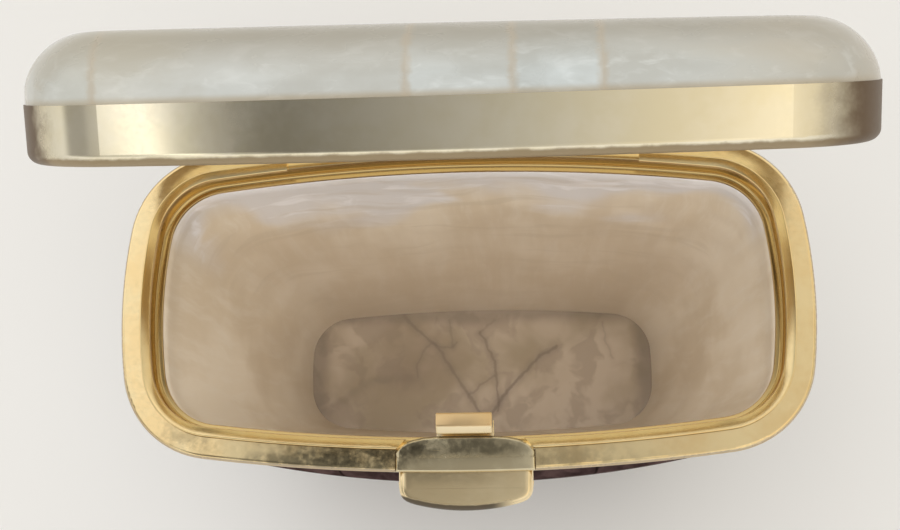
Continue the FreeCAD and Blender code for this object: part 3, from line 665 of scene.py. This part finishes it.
def brown_ends(s, at, colour, rough, left, right):
    """Brown the band's front corners, partly tarnish and partly painted dark reflection, and dull its foot
    with painted shade; gives the colour, metalness and roughness.
    """
    x, y, z = s.split(lid_place(s))
    ragged = s.span(s.noise(at, 0.7, 4, 0.6), 0.3, 0.7, -0.3, 0.3)
    x = s.math("ADD", x, ragged)
    ends = s.math("MAXIMUM", s.span(x, *left), s.span(x, *right))
    ends = s.math("MULTIPLY", ends, s.span(y, 6.0, 0.0))
    # Painted shade along the band's lower edge.
    low = s.span(s.math("ADD", z, s.math("MULTIPLY", ragged, 0.2)), 49.78, 49.52, 0.0, 0.95)
    colour = s.mix(s.math("MULTIPLY", low, 0.9), colour, BAND_FOOT_SHADE)
    colour = s.mix(ends, colour, BROWN_TARNISH_AND_SHADE)
    dulled = s.math("MAXIMUM", s.math("MULTIPLY", ends, 0.75), s.math("MULTIPLY", low, 0.3))
    bare = s.math("SUBTRACT", 1.0, dulled)
    painted_light_tint = s.math("MAXIMUM", ends, low)
    return colour, bare, s.math("ADD", rough, s.math("MULTIPLY", painted_light_tint, 0.3))


def gilt(name, light, deep, roughness, ripple, marks=(), edges=(), front_edge=None, tarnish_and_reflection_ends=None):
    """Gilt brass: two golds in soft clouds and rubbed streaks, with tarnish and tints of painted light and
    shade.

    marks are dull patches seen from above, partly tarnish and partly painted dark reflection, as (centre,
    reach, tint, amount). edges are tints below a height, painted highlight, shade and dark reflection, as
    (top, bottom, tint, how much metal they lose, the y they start from). front_edge paints a dark reflection
    on a rim round a centre on the y axis, as (centre, inner radius, outer radius, tint). The last argument
    gives the two stretches of x over which the lid's band turns brown, partly tarnish and partly painted dark
    reflection."""
    s = Shader(name)
    at = s.place()
    clouds = s.noise(at, 0.22, 4, 0.6)
    colour = s.mix(s.span(clouds, 0.35, 0.65), deep, light)
    fine = s.noise(at, 2.2, 4, 0.65)
    spread = 0.35 if marks else 0.12
    smoothest, roughest = roughness * (1 - spread), roughness * (1 + spread)
    rough = s.span(s.math("ADD", fine, clouds), 0.75, 1.25, smoothest, roughest)
    # Patches that are partly tarnish, partly painted dark reflection.
    for centre, reach, tint, amount in marks:
        patch = s.spot(s.flat(s.wobble(at, 0.5, 1.6, 4)), centre, reach)
        grain = s.span(s.noise(at, 0.7, 3, 0.55), 0.38, 0.62)
        patch = s.math("MULTIPLY", s.math("MULTIPLY", patch, grain), amount)
        colour = s.mix(patch, colour, tint)
    bare = 1.0
    x, y, z = s.split(at)
    # Tints below a height: painted highlight, shade and dark reflection on the pieces' edges.
    for top, bottom, tint, dulled, front in edges:
        painted_light_tint = s.span(s.math("ADD", z, s.span(fine, 0.3, 0.7, -0.01, 0.01)), top, bottom)
        painted_light_tint = s.math("MULTIPLY", painted_light_tint, s.span(y, front, front + 0.2))
        colour = s.mix(s.math("MULTIPLY", painted_light_tint, 0.95), colour, tint)
        if dulled:
            bare = s.math("MULTIPLY", bare, s.span(painted_light_tint, 0.0, 1.0, 1.0, 1.0 - dulled))
            rough = s.math("ADD", rough, s.math("MULTIPLY", painted_light_tint, 0.3 * dulled))
    # A painted dark reflection on a curved front edge.
    if front_edge:
        centre, inner, outer, tint = front_edge
        away = s.vector("DISTANCE", s.flat(s.wobble(at, 1.5, 0.06)), (0.0, centre, 0.0))
        painted_light_tint = s.math("MULTIPLY", s.span(away, inner, outer), s.span(x, 5.0, 2.2))
        colour = s.mix(s.math("MULTIPLY", painted_light_tint, 0.95), colour, tint)
        bare = s.math("MULTIPLY", bare, s.span(painted_light_tint, 0.0, 1.0, 1.0, 0.15))
        rough = s.math("ADD", rough, s.math("MULTIPLY", painted_light_tint, 0.25))
    if tarnish_and_reflection_ends:
        colour, bare, rough = brown_ends(s, at, colour, rough, *tarnish_and_reflection_ends)
    s.surface(Base_Color=colour, Metallic=bare, Roughness=rough)
    if ripple:
        s.bump(s.math("ADD", s.noise(at, 0.55, 2, 0.5), s.math("MULTIPLY", fine, 0.05)), ripple, 0.6)
    return s.material


def pearl(name):
    """Mother-of-pearl strips: cloudy silver nacre, different in each strip, with tan joints and painted shade
    along the top of the closed lid's front.
    """
    grey, silver, bright = (0.485, 0.52, 0.52), (0.61, 0.665, 0.685), (0.77, 0.83, 0.86)
    cream, shaded = (0.55, 0.50, 0.42), (0.36, 0.33, 0.265)
    end_tan, foot_tan = (0.40, 0.36, 0.285), (0.40, 0.32, 0.20)
    right_tan, left_tan, joint_tan = (0.46, 0.40, 0.30), (0.50, 0.455, 0.34), (0.47, 0.40, 0.30)
    s = Shader(name)
    at = lid_place(s)
    x, y, z = s.split(at)
    seam = None
    count = 0.0
    for place, slant in SEAMS:
        line = s.math("ADD", s.math("MULTIPLY", y, math.tan(math.radians(slant))), x)
        side = s.math("SUBTRACT", line, place)
        away = s.math("ABSOLUTE", side)
        seam = away if seam is None else s.math("MINIMUM", seam, away)
        step = s.math("GREATER_THAN", side, 0.0)
        count = s.math("ADD", count, step)
    shifted = s.other_sheet(at, count, 17.3, 9.1)
    stretched = s.vector("MULTIPLY", shifted, (0.6, 1.4, 1.4))
    clouds = s.noise(s.wobble(stretched, 0.35, 1.2), 0.22, 5, 0.55)
    veins = s.noise(s.wobble(stretched, 0.5, 2.5), 0.5, 3, 0.5)
    colour = s.mix(s.span(clouds, 0.32, 0.68), grey, silver)
    colour = s.mix(s.span(veins, 0.5, 0.72, 0, 0.5), colour, bright)
    tone = s.math("FRACT", s.math("MULTIPLY", s.math("ADD", count, 0.37), 0.618))
    colour = s.mix(s.math("MULTIPLY", tone, 0.35), colour, cream)
    # Painted shade along the top of the closed lid's front, which is the open lid's upper edge.
    height = s.math("MULTIPLY", s.span(z, 54.5, 58.3), s.span(y, -9.0, -11.5))
    colour = s.mix(s.math("MULTIPLY", height, 0.85), colour, shaded)
    ends = s.span(s.math("ABSOLUTE", s.math("ADD", x, s.span(clouds, 0.3, 0.7, -1.5, 1.5))), 26.5, 31.5)
    ends = s.math("MULTIPLY", ends, s.span(y, -4.0, -9.0, 0.15, 0.6))
    colour = s.mix(ends, colour, end_tan)
    colour = s.mix(s.span(z, 54.05, 53.5, 0.0, 0.6), colour, foot_tan)
    right = s.span(s.math("ADD", x, s.span(clouds, 0.3, 0.7, -4.0, 4.0)), 14.0, 32.0)
    right = s.math("MULTIPLY", right, s.span(y, -2.0, -10.0, 0.5, 1.0))
    colour = s.mix(s.math("MULTIPLY", right, 0.6), colour, right_tan)
    left = s.span(s.math("ADD", x, s.span(clouds, 0.3, 0.7, -2.0, 2.0)), -12.0, -25.0, 0.0, 0.35)
    colour = s.mix(left, colour, left_tan)
    ragged = s.math("ADD", seam, s.span(s.noise(at, 1.3, 3, 0.6), 0.3, 0.7, -0.12, 0.12))
    colour = s.mix(s.span(ragged, 0.0, 0.55, 0.55, 0.0), colour, joint_tan)
    s.surface(Base_Color=colour, Roughness=s.span(clouds, 0.3, 0.7, 0.34, 0.2), Coat_Weight=0.5,
              Coat_Roughness=0.06)
    s.bump(s.math("ADD", clouds, s.math("MULTIPLY", veins, 0.15)), 0.03, 0.25)
    return s.material


def lining(name):
    """The pearl inside the case: tan sheets with upright grain, with painted shade that turns them browner
    below and darker low on the rear wall, and a painted milky sheen at the rear's top.
    """
    tan, cream = (0.66, 0.565, 0.44), (0.76, 0.68, 0.565)
    pale, brown = (0.80, 0.745, 0.66), (0.44, 0.35, 0.25)
    painted_sheen, wisp = (0.69, 0.69, 0.73), (0.86, 0.85, 0.88)
    layer, rear_shade = (0.50, 0.42, 0.32), (0.50, 0.41, 0.315)
    s = Shader(name)
    at = s.place()
    x, y, z = s.split(at)
    upright = s.vector("MULTIPLY", s.wobble(at, 0.12, 1.2), (1, 1, 0.09))
    grain = s.noise(upright, 0.9, 4, 0.6)
    broad = s.noise(upright, 0.22, 3, 0.5)
    clouds = s.noise(s.wobble(at, 0.1, 3.0), 0.08, 3, 0.5)
    tone = s.span(s.math("ADD", broad, clouds), 0.8, 1.2)
    colour = s.mix(tone, tan, cream)
    colour = s.mix(s.span(grain, 0.45, 0.7, 0, 0.35), colour, pale)
    # Painted shade: the sheets turn browner deeper in the case.
    deep = s.math("ADD", z, s.span(clouds, 0.3, 0.7, -5.0, 5.0))
    colour = s.mix(s.span(deep, 30.0, 0.0, 0, 0.6), colour, brown)
    # A painted lilac-white sheen on the rear wall's top, where the light falls.
    wavy = s.noise(s.wobble(at, 0.1, 4.0), 0.055, 2, 0.5)
    edge = s.math("ADD", z, s.span(wavy, 0.3, 0.7, -10.0, 8.0))
    painted_sheen_mask = s.math("MULTIPLY", s.span(edge, 31.0, 41.0), s.span(y, 5.0, 10.0))
    wisps = s.noise(s.vector("MULTIPLY", s.wobble(at, 0.1, 4.0), (0.25, 1, 1)), 0.45, 3, 0.55)
    colour = s.mix(s.math("MULTIPLY", painted_sheen_mask, 0.8), colour, painted_sheen)
    colour = s.mix(s.math("MULTIPLY", painted_sheen_mask, s.span(wisps, 0.5, 0.66, 0, 0.8)), colour, wisp)
    layers = s.noise(s.vector("MULTIPLY", s.wobble(at, 0.08, 4.0), (0.12, 0.3, 1)), 0.5, 3, 0.5)
    layers = s.math("MULTIPLY", s.span(layers, 0.52, 0.68, 0, 0.3), s.span(y, 4.0, 9.0))
    colour = s.mix(layers, colour, layer)
    shade = s.math("MULTIPLY", s.span(y, 4.0, 9.0), s.span(deep, 38.0, 26.0, 0.0, 0.4))
    colour = s.mix(shade, colour, rear_shade)
    s.surface(Base_Color=colour, Roughness=s.span(clouds, 0.3, 0.7, 0.5, 0.36), Coat_Weight=0.25,
              Coat_Roughness=0.25)
    s.bump(s.math("ADD", broad, s.math("MULTIPLY", grain, 0.3)), 0.15, 0.5)
    return s.material


# The floor's cracks and one smoky trail, each as its points seen from above, its half width and its strength.
VEINS = [
    ([(-9.9, 7.3), (-8.4, 5.7), (-6.5, 4.0), (-5.0, 2.5), (-4.2, 0.7), (-3.2, -0.6), (-1.8, -2.7),
      (-0.9, -4.3), (-0.2, -5.3)], 0.16, 0.8),
    ([(-0.1, 5.0), (0.8, 3.4), (1.7, 1.3), (1.9, -0.7), (2.2, -3.3), (2.0, -5.2)], 0.13, 0.8),
    ([(9.7, 3.0), (7.6, 1.8), (6.0, 0.0), (3.9, -2.0), (2.4, -3.8), (1.3, -5.3)], 0.16, 0.9),
    ([(-8.1, -0.8), (-8.2, 1.0), (-7.3, 2.6), (-6.5, 3.6), (-5.2, 3.2), (-3.7, 3.1), (-3.0, 3.8)], 0.11, 0.6),
    ([(-1.5, -3.0), (0.1, -1.7), (1.7, -0.7)], 0.12, 0.6),
    ([(-4.2, 6.7), (-3.7, 4.8), (-3.6, 3.3)], 0.11, 0.5),
    ([(-20.1, -5.0), (-17.5, -3.5), (-15.3, -1.7), (-13.0, -1.0), (-9.1, -0.8)], 0.45, 0.35),
    ([(15.7, 6.0), (16.1, 3.4), (16.8, 1.3)], 0.10, 0.4),
    ([(-0.1, 5.0), (2.0, 6.6)], 0.11, 0.5),
]


def floor_pearl(name):
    """The pearl sheet on the case's bottom: brown clouds crossed by fine dark cracks, with painted shade
    along its ends and its rear edge.
    """
    brown, tan = (0.245, 0.19, 0.125), (0.36, 0.285, 0.21)
    smoky, stained = (0.20, 0.15, 0.105), (0.17, 0.12, 0.08)
    crack, edge_shade = (0.13, 0.095, 0.07), (0.15, 0.115, 0.085)
    s = Shader(name)
    at = s.place()
    clouds = s.noise(s.wobble(at, 0.15, 3.0), 0.11, 3, 0.5)
    smoke = s.noise(s.wobble(at, 0.2, 2.5, 2), 0.24, 3, 0.5)
    colour = s.mix(s.span(clouds, 0.35, 0.65), brown, tan)
    colour = s.mix(s.span(smoke, 0.5, 0.62, 0, 0.5), colour, smoky)
    stain = s.spot(s.flat(s.wobble(at, 0.3, 2.0)), (-8, 1.5), (5, 4), 0.7)
    colour = s.mix(s.math("MULTIPLY", stain, 0.45), colour, stained)
    shaken = s.flat(s.wobble(at, 0.7, 0.45, 3))
    for points, width, depth in VEINS:
        away = s.line_distance(shaken, points)
        soft = s.span(away, width * 0.8, width * 7.0, depth * 0.3, 0.0)
        line = s.span(away, width * 0.2, width * 2.0, depth * 0.5, 0.0)
        colour = s.mix(s.math("ADD", soft, line), colour, crack)
    # Painted shade where the sheet meets the walls at its ends and its rear.
    x, y, _ = s.split(s.wobble(at, 0.3, 0.8))
    rim = s.math("MAXIMUM", s.span(s.math("ABSOLUTE", x), 18.8, 20.8), s.span(y, 5.4, 7.2))
    colour = s.mix(s.math("MULTIPLY", rim, 0.6), colour, edge_shade)
    s.surface(Base_Color=colour, Roughness=s.span(clouds, 0.3, 0.7, 0.5, 0.36), Coat_Weight=0.3,
              Coat_Roughness=0.2)
    s.bump(clouds, 0.08, 0.4)
    return s.material


def dark_shell(name):
    """Dark shell veneer in upright strips that taper with the case: plum and brown bands, fine joints. Its
    darkness is partly the shell's own colour and partly painted shade under the rim.
    """
    plum, mauve = (0.040, 0.024, 0.024), (0.115, 0.072, 0.070)
    brown, joint_dark = (0.15, 0.10, 0.085), (0.012, 0.008, 0.007)
    strip_width, strips_from = 8.0, 44.0
    s = Shader(name)
    at = s.place()
    x, y, z = s.split(at)
    narrowing = s.span(z, -20.0, 42.0, 0.62, 1.0)
    across = s.math("DIVIDE", x, narrowing)
    strip = s.math("DIVIDE", s.math("ADD", across, strips_from), strip_width)
    number = s.math("FLOOR", strip)
    off_middle = s.math("ABSOLUTE", s.math("SUBTRACT", s.math("FRACT", strip), 0.5))
    joint = s.math("MULTIPLY", s.math("SUBTRACT", 0.5, off_middle), strip_width)
    shifted = s.other_sheet(s.vector("MULTIPLY", at, (1, 1, 0.3)), number, 13.7, 5.9)
    bands = s.noise(s.wobble(shifted, 0.25, 1.6), 0.35, 5, 0.6)
    clouds = s.noise(shifted, 0.12, 4, 0.6)
    colour = s.mix(s.span(bands, 0.35, 0.65), plum, mauve)
    colour = s.mix(s.span(clouds, 0.5, 0.7, 0, 0.5), colour, brown)
    colour = s.mix(s.span(joint, 0.06, 0.2, 0.8, 0.0), colour, joint_dark)
    s.surface(Base_Color=colour, Roughness=s.span(bands, 0.3, 0.7, 0.5, 0.35), Specular_IOR_Level=0.0,
              Coat_Weight=s.span(z, 41.0, 30.0, 0.0, 0.7), Coat_Roughness=0.14)
    s.bump(s.math("ADD", bands, s.span(joint, 0.0, 0.3, -1.0, 0.0)), 0.05, 0.3)
    return s.material


def cement(name):
    """The pale tan core under the strips, with fine grain along it."""
    s = Shader(name)
    at = s.place()
    grain = s.noise(s.vector("MULTIPLY", at, (0.2, 1, 1)), 2.5, 4, 0.6)
    colour = s.mix(s.span(grain, 0.3, 0.7), (0.30, 0.22, 0.14), (0.44, 0.34, 0.23))
    s.surface(Base_Color=colour, Roughness=s.span(grain, 0.3, 0.7, 0.7, 0.55))
    s.bump(grain, 0.05, 0.4)
    return s.material


def steel(name):
    """Drawn steel, for the pin and the springs, with fine lines along x."""
    s = Shader(name)
    at = s.place((0.2, 1, 1))
    grain = s.noise(at, 6.0, 4, 0.6)
    colour = s.mix(s.span(grain, 0.3, 0.7), (0.42, 0.41, 0.39), (0.62, 0.60, 0.56))
    s.surface(Base_Color=colour, Metallic=1.0, Roughness=s.span(grain, 0.3, 0.7, 0.32, 0.2))
    s.bump(grain, 0.02, 0.3)
    return s.material


# The rim's dark patches at its front: partly tarnish, partly painted dark reflection.
RIM_MARKS = [((-11, -15.6), (8.5, 1.7), TARNISH_AND_DARK_REFLECTION, 0.85), ((10, -15.6), (6, 1.8), TARNISH_AND_DARK_REFLECTION, 0.3),
             ((-25, -12.5), (2.5, 1.5), TARNISH_AND_DARK_REFLECTION, 0.4)]
# The flange's rounded outer edge and its skirt: darker tints that are painted dark reflection.
RIM_EDGES = [(48.98, 48.86, (0.52, 0.42, 0.30), 0.4, EVERYWHERE),
             (48.84, 48.7, (0.55, 0.41, 0.21), 0.12, EVERYWHERE)]
# The cover's dark patches: partly tarnish, partly painted dark reflection.
COVER_MARKS = [((-5, -14.4), (2.5, 0.9), TARNISH_AND_DARK_REFLECTION, 0.6), ((0, -13.7), (7, 0.8), TARNISH_AND_DARK_REFLECTION, 0.65)]
# Painted shadow on the cover's rear edge, beside the gap under the hook.
COVER_EDGES = [(49.0, 48.96, (0.24, 0.18, 0.09), 0.5, -14.85)]
# Painted shade: the lip's walls below the bead turn a deeper gold.
LIP_EDGES = [(49.05, 48.8, (0.68, 0.49, 0.21), 0.0, EVERYWHERE)]
# A painted highlight on the hook's bevel, and a painted shadow on its stem under the nose.
HOOK_EDGES = [(50.77, 50.7, (0.99, 0.84, 0.56), 0.0, EVERYWHERE), (49.9, 49.7, BROWN_TARNISH_AND_SHADE, 0.8, EVERYWHERE)]
# A painted dark reflection on the tab's curved front edge.
TAB_FRONT_DARK_REFLECTION = (-0.2, 18.58, 18.76, (0.05, 0.035, 0.02))
# Where the band's front corners turn brown: partly tarnish, partly painted dark reflection.
BAND_ENDS = ((-27.6, -29.9), (24.8, 29.4))

RIM_GILT = gilt("rim_gilt", (0.97, 0.79, 0.46), (0.92, 0.70, 0.37), 0.17, 0.012, RIM_MARKS, RIM_EDGES)
COVER_GILT = gilt("cover_gilt", (0.80, 0.71, 0.49), (0.71, 0.61, 0.40), 0.19, 0, COVER_MARKS, COVER_EDGES)
LIP_GILT = gilt("lip_gilt", (0.97, 0.78, 0.43), (0.93, 0.71, 0.36), 0.17, 0.004, edges=LIP_EDGES)
TAB_GILT = gilt("tab_gilt", (1.0, 0.83, 0.53), (0.95, 0.77, 0.47), 0.21, 0, front_edge=TAB_FRONT_DARK_REFLECTION)
HOOK_GILT = gilt("hook_gilt", (0.92, 0.67, 0.36), (0.88, 0.62, 0.32), 0.3, 0, edges=HOOK_EDGES)
BAND_GILT = gilt("band_gilt", (0.92, 0.85, 0.67), (0.89, 0.81, 0.60), 0.14, 0.002, tarnish_and_reflection_ends=BAND_ENDS)
LID_PEARL = pearl("lid_nacre")
LINING = lining("lining_nacre")
FLOOR = floor_pearl("floor_nacre")
SHELL = dark_shell("dark_nacre")
CEMENT = cement("cement")
STEEL = steel("drawn_steel")

FINISHES = {
    "outer_case": SHELL, "bottom_plate": SHELL, "pearl_lining": LINING, "floor_panel": FLOOR,
    "base_rim": RIM_GILT, "inner_lip": RIM_GILT, "latch_cover": RIM_GILT, "thumb_tab": TAB_GILT,
    "catch_hook": TAB_GILT, "base_hinge_leaf": RIM_GILT, "lid_hinge_leaf": BAND_GILT, "hinge_pin": STEEL,
    "latch_springs": STEEL, "lid_band": BAND_GILT, "lid_liner": BAND_GILT, "lid_core": CEMENT,
    "lid_striker": BAND_GILT,
    **{f"lid_strip_{n}": LID_PEARL for n in range(1, 6)},
}
PIECE_FINISHES = {
    "shell_wall": SHELL, "pearl_wall": LINING, "gilt_lip": LIP_GILT, "catch_plate": COVER_GILT,
    "press_tab": TAB_GILT, "hook_nose": HOOK_GILT, "coil_springs": STEEL,
    **{f"nacre_strip_{n}": LID_PEARL for n in range(1, 6)},
}
for name, finish in {**FINISHES, **PIECE_FINISHES}.items():
    thing = nodes.get(name) or bpy.data.objects[name]
    thing.data.materials.clear()
    thing.data.materials.append(finish)


# ------------------------------------------------------------------ stage and light


def add_floor():
    """A pale table under the box."""
    mesh = bpy.data.meshes.new("floor")
    shape = bmesh.new()
    bmesh.ops.create_grid(shape, x_segments=1, y_segments=1, size=3)
    shape.to_mesh(mesh)
    shape.free()
    floor = bpy.data.objects.new("floor", mesh)
    bpy.context.scene.collection.objects.link(floor)
    s = Shader("table")
    s.surface(Base_Color=(0.90, 0.90, 0.90), Roughness=0.9)
    mesh.materials.append(s.material)


# Brightness of the room from left to right, as (x over z of a direction, brightness): first low in front,
# which the lid's band mirrors, then overhead, which the flat gilt mirrors.
SKY_IN_FRONT = [
    (-1.9, 0.35), (-1.2, 0.35), (-0.95, 0.5), (-0.8, 0.56), (-0.72, 0.72), (-0.68, 0.95), (-0.65, 1.8),
    (-0.6, 1.8), (-0.588, 0.6), (-0.48, 0.38), (-0.42, 0.2), (-0.34, 0.17), (-0.26, 0.23), (-0.17, 0.29),
    (-0.1, 0.36), (0.05, 0.48), (0.24, 0.67), (0.3, 0.75), (0.42, 0.85), (0.5, 1.0), (0.54, 1.3), (0.6, 1.0),
    (0.8, 0.85), (1.3, 0.8), (1.9, 0.6),
]
SKY_ABOVE = [
    (-1.2, 0.7), (-0.5, 0.9), (-0.36, 1.05), (-0.24, 0.95), (-0.21, 0.35), (-0.175, 0.1), (-0.09, 0.08),
    (-0.04, 0.2), (0.0, 0.3), (0.03, 0.42), (0.1, 0.58), (0.2, 0.68), (0.3, 0.75), (0.5, 0.9), (0.9, 0.5),
    (1.2, 0.6),
]


def add_world():
    """A pale room: bright sheets to the left and the right, a dark shape overhead, dim walls."""
    neutral, soft_white, golden = (0.98, 0.95, 0.90), (1.0, 0.985, 0.955), (1.0, 0.92, 0.76)
    world = bpy.data.worlds.new("room")
    bpy.context.scene.world = world
    world.use_nodes = True
    s = Shader.__new__(Shader)
    s.tree = world.node_tree
    background = s.tree.nodes["Background"]
    x, y, z = s.split(s.node("TexCoord").outputs["Generated"])
    up = s.math("MAXIMUM", z, 0.05)
    u, v = s.math("DIVIDE", x, up), s.math("DIVIDE", y, up)
    sky = s.wobble(s.node("CombineXYZ", {0: u, 1: v}).outputs[0], 3.0, 0.02, 3)
    u, v, _ = s.split(sky)
    front, above = s.ramp(u, SKY_IN_FRONT), s.ramp(u, SKY_ABOVE)
    behind = s.span(v, 0.16, 0.34)
    above = s.math("ADD", s.math("MULTIPLY", above, s.math("SUBTRACT", 1.0, behind)),
                   s.math("MULTIPLY", behind, s.span(u, 0.05, 0.2, 1.05, 0.85)))
    forward = s.span(v, -0.02, -0.22)
    light = s.math("ADD", s.math("MULTIPLY", front, forward),
                   s.math("MULTIPLY", above, s.math("SUBTRACT", 1.0, forward)))
    far = s.math("MAXIMUM", s.span(s.math("ABSOLUTE", v), 0.8, 1.3), s.span(s.math("ABSOLUTE", u), 2.2, 3.4))
    light = s.math("ADD", s.math("MULTIPLY", light, s.math("SUBTRACT", 1.0, far)),
                   s.math("MULTIPLY", far, s.span(z, 0.0, 0.6, 0.7, 0.95)))
    tint = s.mix(s.span(light, 0.1, 0.9), neutral, soft_white)
    warm = s.math("MULTIPLY", s.span(u, 0.0, 0.45), s.math("SUBTRACT", 1.0, far))
    tint = s.mix(warm, tint, golden)
    s.put(background.inputs["Color"], s.vector("SCALE", tint, Scale=light))
    background.inputs["Strength"].default_value = 1.0


def add_light(name, at, towards, size, watts, colour, only_on=()):
    """A soft rectangle of light that metal doesn't mirror; only_on limits it to some pieces."""
    light = bpy.data.lights.new(name, "AREA")
    light.shape = "RECTANGLE"
    light.size, light.size_y = (s * MM for s in size)
    light.energy = watts
    light.color = colour
    thing = bpy.data.objects.new(name, light)
    bpy.context.scene.collection.objects.link(thing)
    thing.visible_glossy = False
    if only_on:
        lit = bpy.data.collections.new(f"{name}_lit")
        for piece in only_on:
            lit.objects.link(piece)
        thing.light_linking.receiver_collection = lit
    thing.location = Vector(at) * MM
    aim = Vector(towards) * MM - thing.location
    thing.rotation_mode = "QUATERNION"
    thing.rotation_quaternion = aim.to_track_quat("-Z", "Y")


IN_THE_CASE = (0, 0, 20)

add_floor()
add_world()
add_light("overhead", (-20, -40, 450), IN_THE_CASE, (330, 260), 0.5, (1.0, 0.98, 0.95))
add_light("into_the_case", (8, -22, 230), IN_THE_CASE, (230, 170), 0.7, (1.0, 0.985, 0.96),
          (bpy.data.objects["pearl_wall"], nodes["floor_panel"]))
bpy.context.scene.view_settings.view_transform = "Standard"
